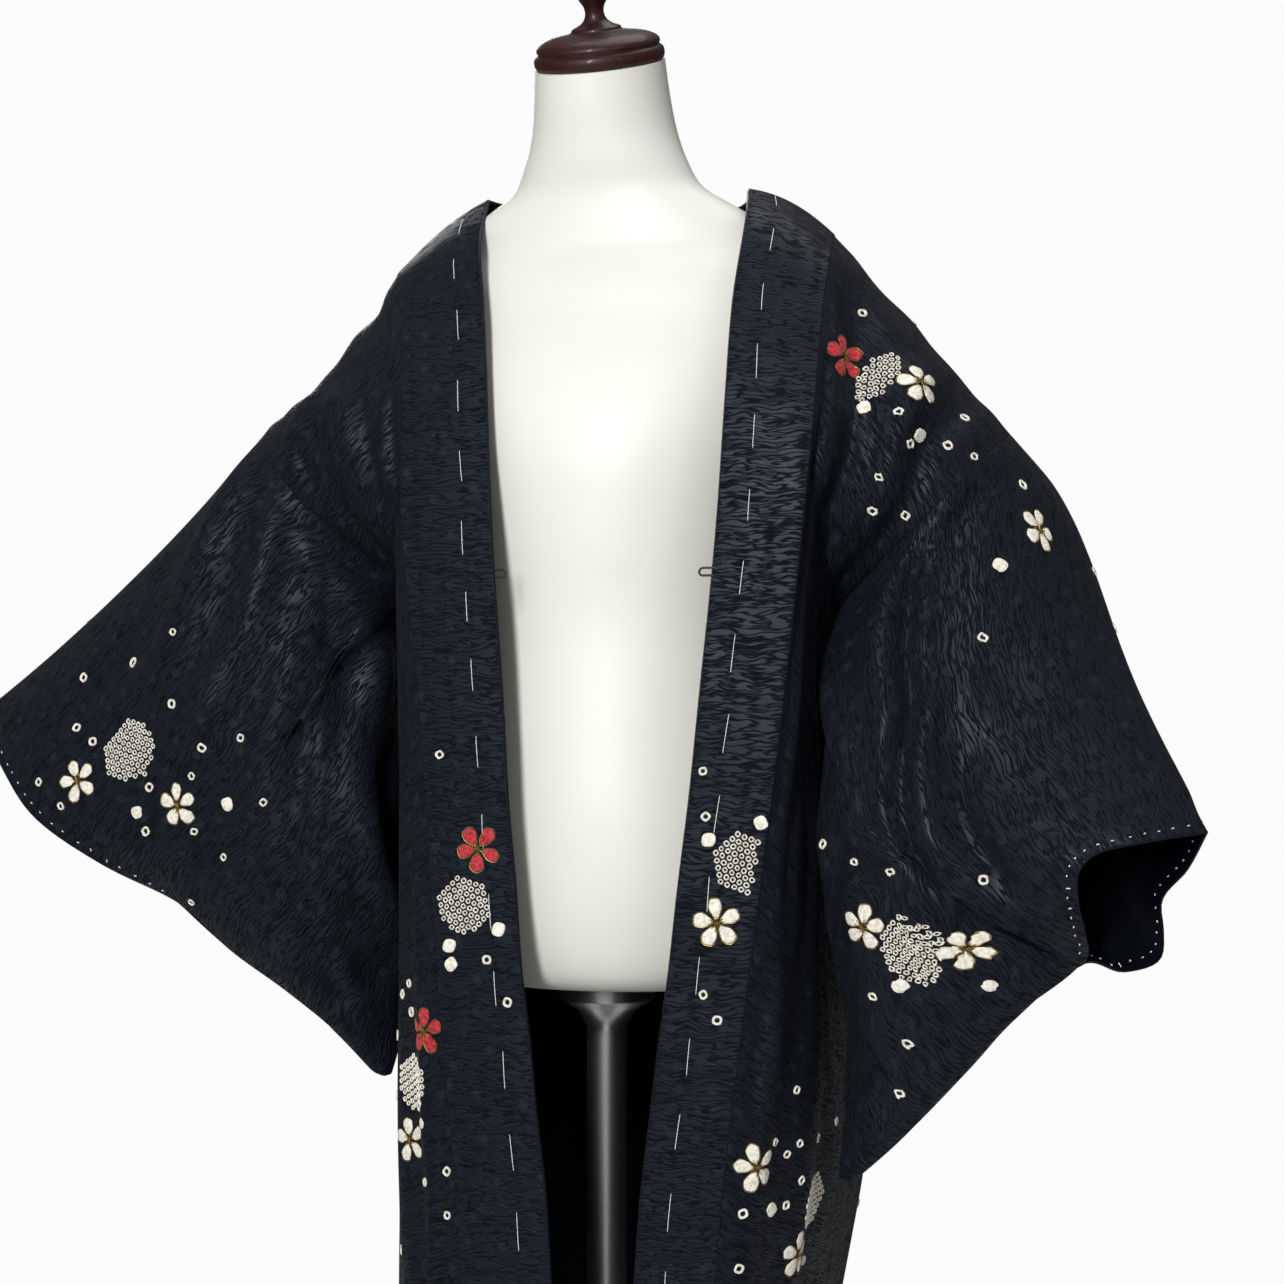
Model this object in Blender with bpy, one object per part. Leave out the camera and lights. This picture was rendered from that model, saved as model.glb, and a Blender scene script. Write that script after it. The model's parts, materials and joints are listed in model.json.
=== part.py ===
"""Haori jacket on a dress form.

A black silk haori hangs open on a limbless dress form with a turned wooden neck cap.
Metres, +Z up, the front faces -Y and the wearer's left is +X. The origin is the middle
of the stand's underside.

Every piece of cloth is a wall around one middle surface. A surface is worked out from
short tables: a row for each level or station, read through a smooth curve. Pieces that
are sewn to each other share their seam line and keep SEAM_GAP between their edges.
"""
import math
from collections import namedtuple

import bpy
import numpy as np
from mathutils import Matrix, Vector

# ---------------------------------------------------------------- driving sizes

CLOTH_THICK = 0.002
COLLAR_THICK = 0.003
SEAM_GAP = 0.0003

ARM_SHARE = 0.24        # share of the panel's length that the sleeve is sewn to
NECK_SHARE = ARM_SHARE / 2      # share of the panel's length that runs round the back neck
GUSSET_TOP = 0.014      # width of the side gusset under the arm
GUSSET_HEM = 0.060

ARM_ROWS = 8            # rows of faces from shoulder ridge to underarm
SIDE_ROWS = 13          # rows from underarm to hem
PANEL_COLUMNS = 12
COLLAR_COLUMNS = 3
GUSSET_COLUMNS = 2
SLEEVE_LOW_ROWS = 9     # rows from the cuff's closed end down to the sleeve's bottom
SLEEVE_STATIONS = (0.0, 0.06, 0.13, 0.20, 0.27, 0.34, 0.41, 0.48, 0.55, 0.62, 0.69, 0.76, 0.83,
                   0.89, 0.94, 0.975, 1.0)
SLEEVE_WIDTH = 0.33
SLEEVE_DROP = 0.44
SLEEVE_CORNER = 0.020   # radius of the sleeve's rounded lower corner
PANEL_WIDTH = 0.22
PANEL_LENGTH = 0.91     # from the shoulder ridge to a hem

# The fronts are read from the shoulder ridge (share 0) down to the hem (share 1). Sizes across
# are counted outwards from the centre line.
FrontEdge = namedtuple("FrontEdge", "share free_x free_y free_z seam_x seam_y seam_z")
FRONT_EDGE = {
    "left": (
        FrontEdge(0.000, 0.100, 0.012, 1.354, 0.158, 0.015, 1.322),
        FrontEdge(0.035, 0.110, -0.028, 1.332, 0.166, -0.022, 1.306),
        FrontEdge(0.115, 0.111, -0.066, 1.270, 0.170, -0.061, 1.262),
        FrontEdge(0.195, 0.113, -0.092, 1.200, 0.171, -0.088, 1.197),
        FrontEdge(0.275, 0.112, -0.107, 1.130, 0.168, -0.103, 1.130),
        FrontEdge(0.420, 0.103, -0.120, 1.000, 0.157, -0.116, 1.000),
        FrontEdge(0.590, 0.086, -0.127, 0.840, 0.138, -0.123, 0.840),
        FrontEdge(0.765, 0.067, -0.131, 0.680, 0.119, -0.127, 0.680),
        FrontEdge(1.000, 0.054, -0.132, 0.462, 0.106, -0.128, 0.462),
    ),
    "right": (
        FrontEdge(0.000, 0.094, 0.012, 1.358, 0.160, 0.018, 1.314),
        FrontEdge(0.035, 0.084, -0.028, 1.332, 0.150, -0.020, 1.302),
        FrontEdge(0.115, 0.068, -0.066, 1.270, 0.129, -0.062, 1.264),
        FrontEdge(0.195, 0.056, -0.092, 1.200, 0.118, -0.088, 1.198),
        FrontEdge(0.275, 0.047, -0.107, 1.130, 0.112, -0.103, 1.130),
        FrontEdge(0.420, 0.034, -0.120, 1.000, 0.094, -0.116, 1.000),
        FrontEdge(0.590, 0.019, -0.127, 0.840, 0.079, -0.123, 0.840),
        FrontEdge(0.765, 0.000, -0.131, 0.680, 0.0635, -0.127, 0.680),
        FrontEdge(1.000, -0.015, -0.132, 0.462, 0.048, -0.128, 0.462),
    ),
}
NECK_BACK_FREE = (0.0, 0.088, 1.338)    # the collar's two edges at the centre back
NECK_BACK_SEAM = (0.0, 0.125, 1.272)
COLLAR_CROWN = {"left": 0.005, "right": 0.003}  # how far the collar stands up on the shoulder
CROWN_REACH = 0.07      # share of the length over which it lies down again

BackLine = namedtuple("BackLine", "share y z")
CENTRE_BACK = (
    BackLine(0.12, 0.125, 1.272),
    BackLine(0.20, 0.148, 1.205),
    BackLine(0.30, 0.170, 1.112),
    BackLine(0.42, 0.187, 1.000),
    BackLine(0.60, 0.197, 0.832),
    BackLine(0.80, 0.200, 0.645),
    BackLine(1.00, 0.205, 0.456),
)

# How a panel's row bends between its inner and outer end: the bend point lies this share of
# the way across, this share of the way back and this far below the middle.
RowBend = namedtuple("RowBend", "share across back drop")
FRONT_BEND = {
    "left": (
        RowBend(0.00, 0.50, 0.50, 0.000),
        RowBend(0.12, 0.55, 0.25, 0.000),
        RowBend(0.24, 0.80, 0.20, 0.000),
        RowBend(0.42, 1.20, 0.15, 0.000),
        RowBend(0.70, 1.05, 0.10, 0.000),
        RowBend(1.00, 1.00, 0.10, 0.000),
    ),
    "right": (
        RowBend(0.00, 0.50, 0.50, 0.026),
        RowBend(0.12, 0.45, 0.30, 0.010),
        RowBend(0.24, 0.40, 0.20, 0.000),
        RowBend(0.42, 0.40, 0.12, 0.000),
        RowBend(0.70, 0.60, 0.10, 0.000),
        RowBend(1.00, 0.70, 0.10, 0.000),
    ),
}
BACK_BEND = {
    "left": (
        RowBend(0.00, 0.50, 0.50, 0.000),
        RowBend(0.12, 0.55, 0.20, 0.000),
        RowBend(0.24, 0.95, 0.08, 0.000),
        RowBend(0.42, 1.00, 0.08, 0.000),
        RowBend(1.00, 1.00, 0.08, 0.000),
    ),
    "right": (
        RowBend(0.00, 0.50, 0.50, 0.026),
        RowBend(0.12, 0.55, 0.20, 0.010),
        RowBend(0.24, 0.95, 0.08, 0.000),
        RowBend(0.42, 1.00, 0.08, 0.000),
        RowBend(1.00, 1.00, 0.08, 0.000),
    ),
}

# The armhole runs round over the shoulder ridge and comes to a point at the underarm, its front
# and back halves swelling forwards and backwards.
Armhole = namedtuple("Armhole", "top underarm front_swell back_swell")
ARMHOLE = {
    "left": Armhole((0.281, 0.020, 1.180), (0.168, -0.005, 1.062),
                    (0.000, -0.062, -0.012), (0.000, 0.080, -0.008)),
    "right": Armhole((0.260, 0.020, 1.205), (0.152, 0.000, 1.083),
                     (0.000, -0.062, -0.012), (0.000, 0.080, -0.008)),
}

# The middle of the side gusset, from the underarm (share ARM_SHARE) to the hem.
SideLine = namedtuple("SideLine", "share x y z")
SIDE_LINE = {
    "left": (
        SideLine(0.24, 0.168, -0.005, 1.062),
        SideLine(0.32, 0.165, 0.012, 0.990),
        SideLine(0.50, 0.163, 0.030, 0.840),
        SideLine(0.70, 0.166, 0.040, 0.680),
        SideLine(0.80, 0.151, 0.040, 0.600),
        SideLine(1.00, 0.122, 0.040, 0.446),
    ),
    "right": (
        SideLine(0.24, 0.152, 0.000, 1.083),
        SideLine(0.32, 0.156, 0.012, 1.010),
        SideLine(0.50, 0.158, 0.030, 0.855),
        SideLine(0.70, 0.158, 0.035, 0.685),
        SideLine(0.80, 0.158, 0.038, 0.605),
        SideLine(1.00, 0.158, 0.040, 0.446),
    ),
}

# A sleeve is a bag of a front and a back layer, counted down from its top fold (0) past the
# cuff's closed end (1) to its bottom fold (2). Its open inner edge below the armhole, the
# surface half-way along the sleeve, and its outer edge each have a table.
FreeEdge = namedtuple("FreeEdge", "down x y z")
FREE_EDGE = {
    "left": (
        FreeEdge(1.0, 0.184, 0.004, 1.050),
        FreeEdge(1.5, 0.188, 0.050, 0.962),
        FreeEdge(2.0, 0.184, 0.115, 0.868),
    ),
    "right": (
        FreeEdge(1.0, 0.166, 0.008, 1.074),
        FreeEdge(1.5, 0.178, 0.070, 0.985),
        FreeEdge(2.0, 0.172, 0.150, 0.885),
    ),
}
Middle = namedtuple("Middle", "down x y z apart")
SLEEVE_MIDDLE = {
    "left": (
        Middle(0.0, 0.345, -0.032, 1.050, 0.080),
        Middle(0.5, 0.286, -0.057, 0.982, 0.100),
        Middle(1.0, 0.230, -0.070, 0.928, 0.080),
        Middle(1.5, 0.200, -0.068, 0.865, 0.036),
        Middle(2.0, 0.188, 0.020, 0.775, 0.012),
    ),
    "right": (
        Middle(0.0, 0.377, 0.010, 1.085, 0.070),
        Middle(0.5, 0.318, -0.015, 1.018, 0.085),
        Middle(1.0, 0.236, -0.030, 0.952, 0.060),
        Middle(1.5, 0.192, -0.018, 0.882, 0.032),
        Middle(2.0, 0.174, 0.072, 0.800, 0.012),
    ),
}
# Down to 1 the outer edge is the cuff's open mouth with a front and a back lip.
OuterEdge = namedtuple("OuterEdge", "down front_x front_y front_z back_x back_y back_z")
OUTER_EDGE = {
    "left": (
        OuterEdge(0.00, 0.421, -0.090, 0.922, 0.421, -0.090, 0.922),
        OuterEdge(0.20, 0.390, -0.118, 0.918, 0.408, -0.076, 0.898),
        OuterEdge(0.40, 0.357, -0.140, 0.910, 0.390, -0.062, 0.874),
        OuterEdge(0.50, 0.349, -0.142, 0.901, 0.391, -0.060, 0.858),
        OuterEdge(0.65, 0.347, -0.132, 0.881, 0.389, -0.066, 0.839),
        OuterEdge(0.80, 0.349, -0.118, 0.862, 0.370, -0.082, 0.833),
        OuterEdge(1.00, 0.346, -0.095, 0.839, 0.346, -0.095, 0.839),
        OuterEdge(1.25, 0.302, -0.092, 0.802, 0.302, -0.092, 0.802),
        OuterEdge(1.50, 0.272, -0.092, 0.768, 0.272, -0.092, 0.768),
        OuterEdge(1.75, 0.230, -0.090, 0.723, 0.230, -0.090, 0.723),
        OuterEdge(2.00, 0.186, -0.087, 0.683, 0.186, -0.087, 0.683),
    ),
    "right": (
        OuterEdge(0.00, 0.506, 0.000, 0.984, 0.506, 0.000, 0.984),
        OuterEdge(0.25, 0.463, -0.036, 0.945, 0.460, 0.000, 0.926),
        OuterEdge(0.50, 0.425, -0.052, 0.910, 0.414, 0.004, 0.900),
        OuterEdge(0.75, 0.374, -0.045, 0.877, 0.366, -0.006, 0.878),
        OuterEdge(1.00, 0.319, -0.030, 0.849, 0.319, -0.030, 0.849),
        OuterEdge(1.25, 0.277, -0.028, 0.815, 0.277, -0.028, 0.815),
        OuterEdge(1.50, 0.234, -0.025, 0.787, 0.234, -0.025, 0.787),
        OuterEdge(1.75, 0.197, -0.018, 0.757, 0.197, -0.018, 0.757),
        OuterEdge(2.00, 0.166, -0.004, 0.720, 0.166, -0.004, 0.720),
    ),
}
ELBOW = {"left": 0.300, "right": -0.050}        # how strongly the top fold stands out near the armhole
ELBOW_END = 0.42         # share of the width where it stops standing out
CLOSED_APART = 0.013    # how far the layers stand apart right beside a closed edge
TOP_ROUNDING = 0.25     # share of the sleeve's drop in which its top fold rounds over
BOTTOM_ROUNDING = 0.12
OPEN_EDGE = 0.12        # share of the sleeve's width in which this fades towards an open edge
CUFF_ROUNDING = 0.10    # share of the sleeve's width in which its closed outer edge rounds over

# The largest folds: soft ridges (or troughs, with a height below 0) from one place on a piece
# to another. On a panel a place is its share of the length and its share across, on a sleeve
# its share down and its share along.
Fold = namedtuple("Fold", "from_down from_across to_down to_across width height")
PANEL_FOLDS = {
    "left": (
        Fold(-0.04, 0.12, -0.24, 0.58, 0.050, -0.008),
        Fold(-0.06, 0.50, -0.19, 0.80, 0.050, 0.008),
        Fold(0.10, 0.75, 0.60, 0.60, 0.060, 0.007),
        Fold(0.30, 0.35, 1.00, 0.30, 0.060, 0.006),
    ),
    "right": (
        Fold(-0.04, 0.14, -0.30, 0.25, 0.045, -0.008),
        Fold(-0.09, 0.50, -0.24, 0.68, 0.050, 0.008),
        Fold(-0.40, 0.45, -1.00, 0.40, 0.050, 0.005),
        Fold(0.10, 0.75, 0.60, 0.55, 0.060, 0.007),
        Fold(0.30, 0.35, 1.00, 0.35, 0.060, 0.006),
    ),
}
SLEEVE_FOLDS = {
    ("left", "front"): (
        Fold(0.72, 0.02, 0.62, 0.46, 0.045, 0.008),
        Fold(0.62, 0.42, 1.10, 0.80, 0.045, 0.008),
        Fold(0.04, 0.44, 0.46, 0.92, 0.045, -0.007),
    ),
    ("left", "back"): (
        Fold(0.30, 0.18, 1.10, 0.55, 0.055, 0.009),
        Fold(0.35, 0.50, 1.50, 0.60, 0.050, 0.007),
    ),
    ("right", "front"): (
        Fold(0.08, 0.03, 0.70, 0.62, 0.050, 0.009),
        Fold(0.60, 0.10, 1.50, 0.35, 0.045, -0.007),
        Fold(1.10, 0.30, 1.85, 0.75, 0.045, 0.008),
    ),
    ("right", "back"): (
        Fold(0.15, 0.15, 0.80, 0.60, 0.055, 0.009),
        Fold(0.60, 0.15, 1.60, 0.50, 0.050, 0.007),
    ),
}
SEAM_CALM = 0.050       # a fold fades out over this distance from a seam


# ---------------------------------------------------------------- curves through tables

def read(rows, share):
    """The columns after the first of a table, at this share, on a smooth curve through its rows."""
    data = np.array([tuple(row) for row in rows], float)
    stations, values = data[:, 0], data[:, 1:]
    steps = np.diff(stations)
    rises = np.diff(values, axis=0) / steps[:, None]
    slopes = np.empty_like(values)
    slopes[0], slopes[-1] = rises[0], rises[-1]
    weight = (steps[:-1] / (steps[:-1] + steps[1:]))[:, None]
    slopes[1:-1] = rises[:-1] * (1 - weight) + rises[1:] * weight
    share = min(max(share, stations[0]), stations[-1])
    i = min(int(np.searchsorted(stations, share, side="right")) - 1, len(steps) - 1)
    t = (share - stations[i]) / steps[i]
    return ((2 * t**3 - 3 * t**2 + 1) * values[i] + (t**3 - 2 * t**2 + t) * steps[i] * slopes[i]
            + (3 * t**2 - 2 * t**3) * values[i + 1] + (t**3 - t**2) * steps[i] * slopes[i + 1])


def ease(t):
    """0 up to t = 0, 1 from t = 1, smooth between."""
    t = min(max(t, 0.0), 1.0)
    return t * t * (3 - 2 * t)


def round_over(t):
    """A quarter circle: 0 at t = 0 and 1 from t = 1 on."""
    t = min(max(t, 0.0), 1.0)
    return math.sqrt(1 - (1 - t) ** 2)


def sided(point, side):
    """A point given outwards from the centre line, put on its side of the body."""
    out = 1.0 if side == "left" else -1.0
    return np.array((out * point[0], point[1], point[2]))


# ---------------------------------------------------------------- seam lines

def collar_edge(side, share, edge):
    """The collar's free or seam edge: share -1 hem, 0 shoulder ridge, NECK_SHARE centre back."""
    first = 0 if edge == "free" else 3
    if share <= 0:
        return read(FRONT_EDGE[side], -share)[first:first + 3]
    ridge = read(FRONT_EDGE[side], 0.0)[first:first + 3]
    back = np.array(NECK_BACK_FREE if edge == "free" else NECK_BACK_SEAM)
    turn = math.pi / 2 * share / NECK_SHARE
    return np.array((
        ridge[0] * math.cos(turn),
        ridge[1] + (back[1] - ridge[1]) * math.sin(turn),
        ridge[2] + (back[2] - ridge[2]) * (1 - math.cos(turn)),
    ))


def armhole_point(side, share):
    """On the armhole: share -1 front underarm, 0 shoulder ridge, 1 back underarm."""
    hole = ARMHOLE[side]
    top, underarm = np.array(hole.top), np.array(hole.underarm)
    down = 1 - math.cos(math.pi / 2 * abs(share))
    swell = np.array(hole.front_swell if share < 0 else hole.back_swell)
    half_gusset = np.array((0.0, math.copysign(GUSSET_TOP / 2, share), 0.0))
    return top + (underarm - top) * down + swell * math.sin(math.pi * abs(share)) + half_gusset * down


def side_point(side, share, across):
    """On the gusset at the side: across -1 its front seam, 1 its back seam."""
    x, y, z = read(SIDE_LINE[side], share)
    below = (share - ARM_SHARE) / (1 - ARM_SHARE)
    half = (GUSSET_TOP + (GUSSET_HEM - GUSSET_TOP) * below) / 2
    return np.array((x, y + across * half, z))


# ---------------------------------------------------------------- surfaces

def panel_point(side, share, across):
    """On a body panel: share -1 front hem, 0 ridge, 1 back hem; across 0 inner edge, 1 outer."""
    down = abs(share)
    front = share <= 0
    if front or share <= NECK_SHARE:
        inner = collar_edge(side, share, "seam")
    else:
        y, z = read(CENTRE_BACK, share)
        inner = np.array((0.0, y, z))
    if down <= ARM_SHARE:
        outer = armhole_point(side, share / ARM_SHARE)
    else:
        outer = side_point(side, down, -1 if front else 1)
    bend_across, bend_back, drop = read(FRONT_BEND[side] if front else BACK_BEND[side], down)
    bend = np.array((
        inner[0] + bend_across * (outer[0] - inner[0]),
        inner[1] + bend_back * (outer[1] - inner[1]),
        (inner[2] + outer[2]) / 2 - drop,
    ))
    return (1 - across) ** 2 * inner + 2 * across * (1 - across) * bend + across**2 * outer


def sleeve_point(side, along, down, layer):
    """On a sleeve: along 0 armhole, 1 cuff; down 0 top fold, 1 cuff's end, 2 bottom.

    Layer -1 is the front, 1 the back, 0 half-way between them.
    """
    corner = SLEEVE_CORNER / (SLEEVE_DROP / 2)
    rounding = min(max((down - (2 - corner)) / corner, 0.0), 1.0)
    along *= 1 - SLEEVE_CORNER / SLEEVE_WIDTH * (1 - math.sqrt(1 - rounding**2))
    bottom = round_over((2 - down) / BOTTOM_ROUNDING)
    lips = read(OUTER_EDGE[side], down)
    outer = lips[:3] if layer < 0 else lips[3:]
    if down < 1:
        turn = math.acos(1 - 2 * down) / math.pi
        inner = armhole_point(side, layer * turn)
        edge = (armhole_point(side, -turn) + armhole_point(side, turn)) / 2
    else:
        inner = edge = read(FREE_EDGE[side], down)
    *middle, apart = read(SLEEVE_MIDDLE[side], down)
    middle = np.array(middle)
    ahead = (lips[:3] + lips[3:]) / 2 - edge
    ahead[2] = 0.0
    ahead /= np.linalg.norm(ahead)
    backwards = np.array((-ahead[1], ahead[0], 0.0)) * layer / 2
    middle += backwards * apart * round_over(down / TOP_ROUNDING) * bottom
    bend = 2 * middle - (inner + outer) / 2
    point = (1 - along) ** 2 * inner + 2 * along * (1 - along) * bend + along**2 * outer
    point[0] += ELBOW[side] * along * (1 - along) ** 2 * (ELBOW_END - along) * ease(1 - down)
    closed = ease((down - 0.75) / 0.25)
    beside = CLOSED_APART * bottom * round_over(down / 0.1)
    beside *= closed * round_over((1 - along) / CUFF_ROUNDING) + (1 - closed) * ease((1 - along) / OPEN_EDGE)
    if down < 1:
        beside *= ease(along / OPEN_EDGE)
    tangent = (bend - inner) * (1 - along) + (outer - bend) * along
    tangent[2] = 0.0
    tangent /= np.linalg.norm(tangent)
    facing = np.array((-tangent[1], tangent[0], 0.0)) * layer / 2
    return point + facing * beside


def fold_lift(folds, down, across, down_size, across_size):
    """How far the folds lift a piece here, along its facing."""
    lift = 0.0
    for fold in folds:
        start = np.array((fold.from_down * down_size, fold.from_across * across_size))
        end = np.array((fold.to_down * down_size, fold.to_across * across_size))
        here = np.array((down * down_size, across * across_size))
        length = np.linalg.norm(end - start)
        run = (end - start) / length
        t = (here - start) @ run / length
        beside = abs((here - start) @ np.array((-run[1], run[0]))) / fold.width
        if -0.1 < t < 1.1 and beside < 1:
            fade = ease((t + 0.1) / 0.3) * ease((1.1 - t) / 0.3)
            lift += fold.height * fade * (1 + math.cos(math.pi * beside)) / 2
    return lift


# ---------------------------------------------------------------- solid walls

class Surface:
    """A middle surface as points and four-sided faces, later made into a wall."""

    def __init__(self, points, faces, lifts=None):
        self.points = np.array(points, float)
        self.faces = faces
        self.normals = self.find_normals()
        if lifts:
            self.points += self.normals * np.array(lifts)[:, None]
            self.normals = self.find_normals()

    def find_normals(self):
        normals = np.zeros_like(self.points)
        for face in self.faces:
            corner = self.points[list(face)]
            across, along = corner[2] - corner[0], corner[3 % len(face)] - corner[1]
            facing = np.cross(across, along)
            for index in face:
                normals[index] += facing
        return normals / np.linalg.norm(normals, axis=1)[:, None]


def grid_faces(rows, columns):
    """Faces of a grid whose points are listed row by row."""
    faces = []
    for r in range(rows):
        for c in range(columns):
            a = r * (columns + 1) + c
            faces.append((a, a + 1, a + columns + 2, a + columns + 1))
    return faces


def face_alike(*corners):
    """Give the points where pieces meet, as (surface, index), the same facing."""
    facing = sum(surface.normals[index] for surface, index in corners)
    facing /= np.linalg.norm(facing)
    for surface, index in corners:
        surface.normals[index] = facing


def sew(one, one_edge, other, other_edge):
    """Leave SEAM_GAP between two seam edges, each a list of (point, its neighbour inside)."""
    line = np.array([one.points[a] for a, _ in one_edge])
    runs = np.gradient(line, axis=0)
    for (a, a_inside), (b, b_inside), run in zip(one_edge, other_edge, runs):
        face_alike((one, a), (other, b))
        facing = one.normals[a]
        apart = np.cross(run, facing)
        if apart @ (one.points[a_inside] - other.points[b_inside]) < 0:
            apart = -apart
        apart /= np.linalg.norm(apart)
        one.points[a] += apart * SEAM_GAP / 2
        other.points[b] -= apart * SEAM_GAP / 2


def triangles(surface):
    """The surface's faces, each four-sided one split along its shorter diagonal."""
    parts = []
    for a, b, c, d in surface.faces:
        one = np.linalg.norm(surface.points[a] - surface.points[c])
        other = np.linalg.norm(surface.points[b] - surface.points[d])
        parts += [(a, b, c), (a, c, d)] if one < other else [(a, b, d), (b, c, d)]
    return parts


def wall(name, surface, thickness, look):
    """A closed wall of this thickness around a middle surface."""
    count = len(surface.points)
    outer = surface.points + surface.normals * thickness / 2
    inner = surface.points - surface.normals * thickness / 2
    faces = triangles(surface)
    edges = {(a, b) for face in faces for a, b in zip(face, face[1:] + face[:1])}
    faces += [tuple(index + count for index in reversed(face)) for face in faces]
    for a, b in sorted(edges):
        if (b, a) in edges:
            continue
        # The edges of two sewn pieces are split alike, from the upper point's outside.
        if tuple(surface.points[a][::-1]) > tuple(surface.points[b][::-1]):
            faces += [(b, a, b + count), (a, a + count, b + count)]
        else:
            faces += [(b, a, a + count), (b, a + count, b + count)]
    mesh = bpy.data.meshes.new(name)
    mesh.from_pydata(np.vstack((outer, inner)).tolist(), [], faces)
    mesh.validate()
    mesh.update()
    mesh.shade_smooth()
    mesh.set_sharp_from_angle(angle=math.radians(40))
    return add(name, mesh, look)


def add(name, mesh, look):
    thing = bpy.data.objects.new(name, mesh)
    mesh.materials.append(look)
    bpy.context.scene.collection.objects.link(thing)
    return thing


def material(name, colour, roughness, metallic=0.0):
    look = bpy.data.materials.new(name)
    look.use_nodes = True
    shader = look.node_tree.nodes["Principled BSDF"]
    shader.inputs["Base Color"].default_value = (*colour, 1.0)
    shader.inputs["Roughness"].default_value = roughness
    shader.inputs["Metallic"].default_value = metallic
    return look


# ---------------------------------------------------------------- the haori

def row_shares():
    """Shares down one face of a panel, from the ridge to the hem."""
    arm = [ARM_SHARE * i / ARM_ROWS for i in range(ARM_ROWS)]
    side = [ARM_SHARE + (1 - ARM_SHARE) * i / SIDE_ROWS for i in range(SIDE_ROWS + 1)]
    return arm + side


FRONT_ROWS = ARM_ROWS + SIDE_ROWS       # rows of faces from the ridge to a hem
NECK_ROWS = ARM_ROWS // 2               # rows of faces from the ridge to the centre back


def body_panel(side):
    """Front and back in one length over the shoulder, listed from the front hem to the back hem."""
    shares = [-share for share in reversed(row_shares())] + row_shares()[1:]
    points, lifts = [], []
    for share in shares:
        for column in range(PANEL_COLUMNS + 1):
            across = column / PANEL_COLUMNS
            points.append(sided(panel_point(side, share, across), side))
            lift = fold_lift(PANEL_FOLDS[side], share, across, PANEL_LENGTH, PANEL_WIDTH)
            lifts.append(lift * ease(min(across, 1 - across) * PANEL_WIDTH / SEAM_CALM))
    faces = grid_faces(len(shares) - 1, PANEL_COLUMNS)
    if side == "right":
        faces = [tuple(reversed(face)) for face in faces]
    return Surface(points, faces, lifts)


def panel_index(row, column):
    return row * (PANEL_COLUMNS + 1) + column


def collar_band():
    """The whole band, from the right hem round the neck to the left hem."""
    half = [-share for share in reversed(row_shares())] + row_shares()[1:NECK_ROWS + 1]
    stations = [("right", share) for share in half] + [("left", share) for share in reversed(half[:-1])]
    points = []
    for side, share in stations:
        free = collar_edge(side, share, "free")
        seam = collar_edge(side, share, "seam")
        crown = COLLAR_CROWN[side] * ease(1 - abs(share) / CROWN_REACH)
        for column in range(COLLAR_COLUMNS + 1):
            across = column / COLLAR_COLUMNS
            up = np.array((0.0, 0.0, crown * 4 * across * (1 - across)))
            points.append(sided(free + (seam - free) * across + up, side))
    faces = [tuple(reversed(face)) for face in grid_faces(len(stations) - 1, COLLAR_COLUMNS)]
    return Surface(points, faces)


def collar_index(side, row, column):
    """A collar point by its row in a half, counted from that side's hem."""
    rows = 2 * (FRONT_ROWS + NECK_ROWS)
    place = row if side == "right" else rows - row
    return place * (COLLAR_COLUMNS + 1) + column


def side_gusset(side):
    points = []
    for share in row_shares()[ARM_ROWS:]:
        for column in range(GUSSET_COLUMNS + 1):
            points.append(sided(side_point(side, share, 2 * column / GUSSET_COLUMNS - 1), side))
    faces = grid_faces(SIDE_ROWS, GUSSET_COLUMNS)
    if side == "left":
        faces = [tuple(reversed(face)) for face in faces]
    return Surface(points, faces)


class Sleeve(Surface):
    """A bag of two layers that share the top fold, the bottom and the closed part of the outer edge."""

    def __init__(self, side):
        levels = [(1 - math.cos(math.pi * i / ARM_ROWS)) / 2 for i in range(ARM_ROWS + 1)]
        for i in range(1, SLEEVE_LOW_ROWS + 1):
            levels.append(2 - (1 - i / SLEEVE_LOW_ROWS) ** 1.6)
        last = len(SLEEVE_STATIONS) - 1
        self.index = {}
        points, lifts = [], []
        for layer in (-1, 1):
            folds = SLEEVE_FOLDS[side, "front" if layer < 0 else "back"]
            for i, along in enumerate(SLEEVE_STATIONS):
                for j, down in enumerate(levels):
                    shared = j == 0 or down == 2 or (i == last and j >= ARM_ROWS)
                    if layer == 1 and shared:
                        self.index[layer, i, j] = self.index[-1, i, j]
                        continue
                    self.index[layer, i, j] = len(points)
                    points.append(sided(sleeve_point(side, along, down, 0 if shared else layer), side))
                    lift = fold_lift(folds, down, along, SLEEVE_DROP / 2, SLEEVE_WIDTH)
                    edge = min(along, 1 - along) * SLEEVE_WIDTH
                    fold_edge = min(down, 2 - down) * SLEEVE_DROP / 2
                    lifts.append(lift * ease(min(edge, fold_edge) / SEAM_CALM))
        faces = []
        for layer in (-1, 1):
            for i in range(last):
                for j in range(len(levels) - 1):
                    face = (
                        self.index[layer, i, j], self.index[layer, i, j + 1],
                        self.index[layer, i + 1, j + 1], self.index[layer, i + 1, j],
                    )
                    if (layer == 1) == (side == "left"):
                        face = tuple(reversed(face))
                    faces.append(face)
        super().__init__(points, faces, lifts)


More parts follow.
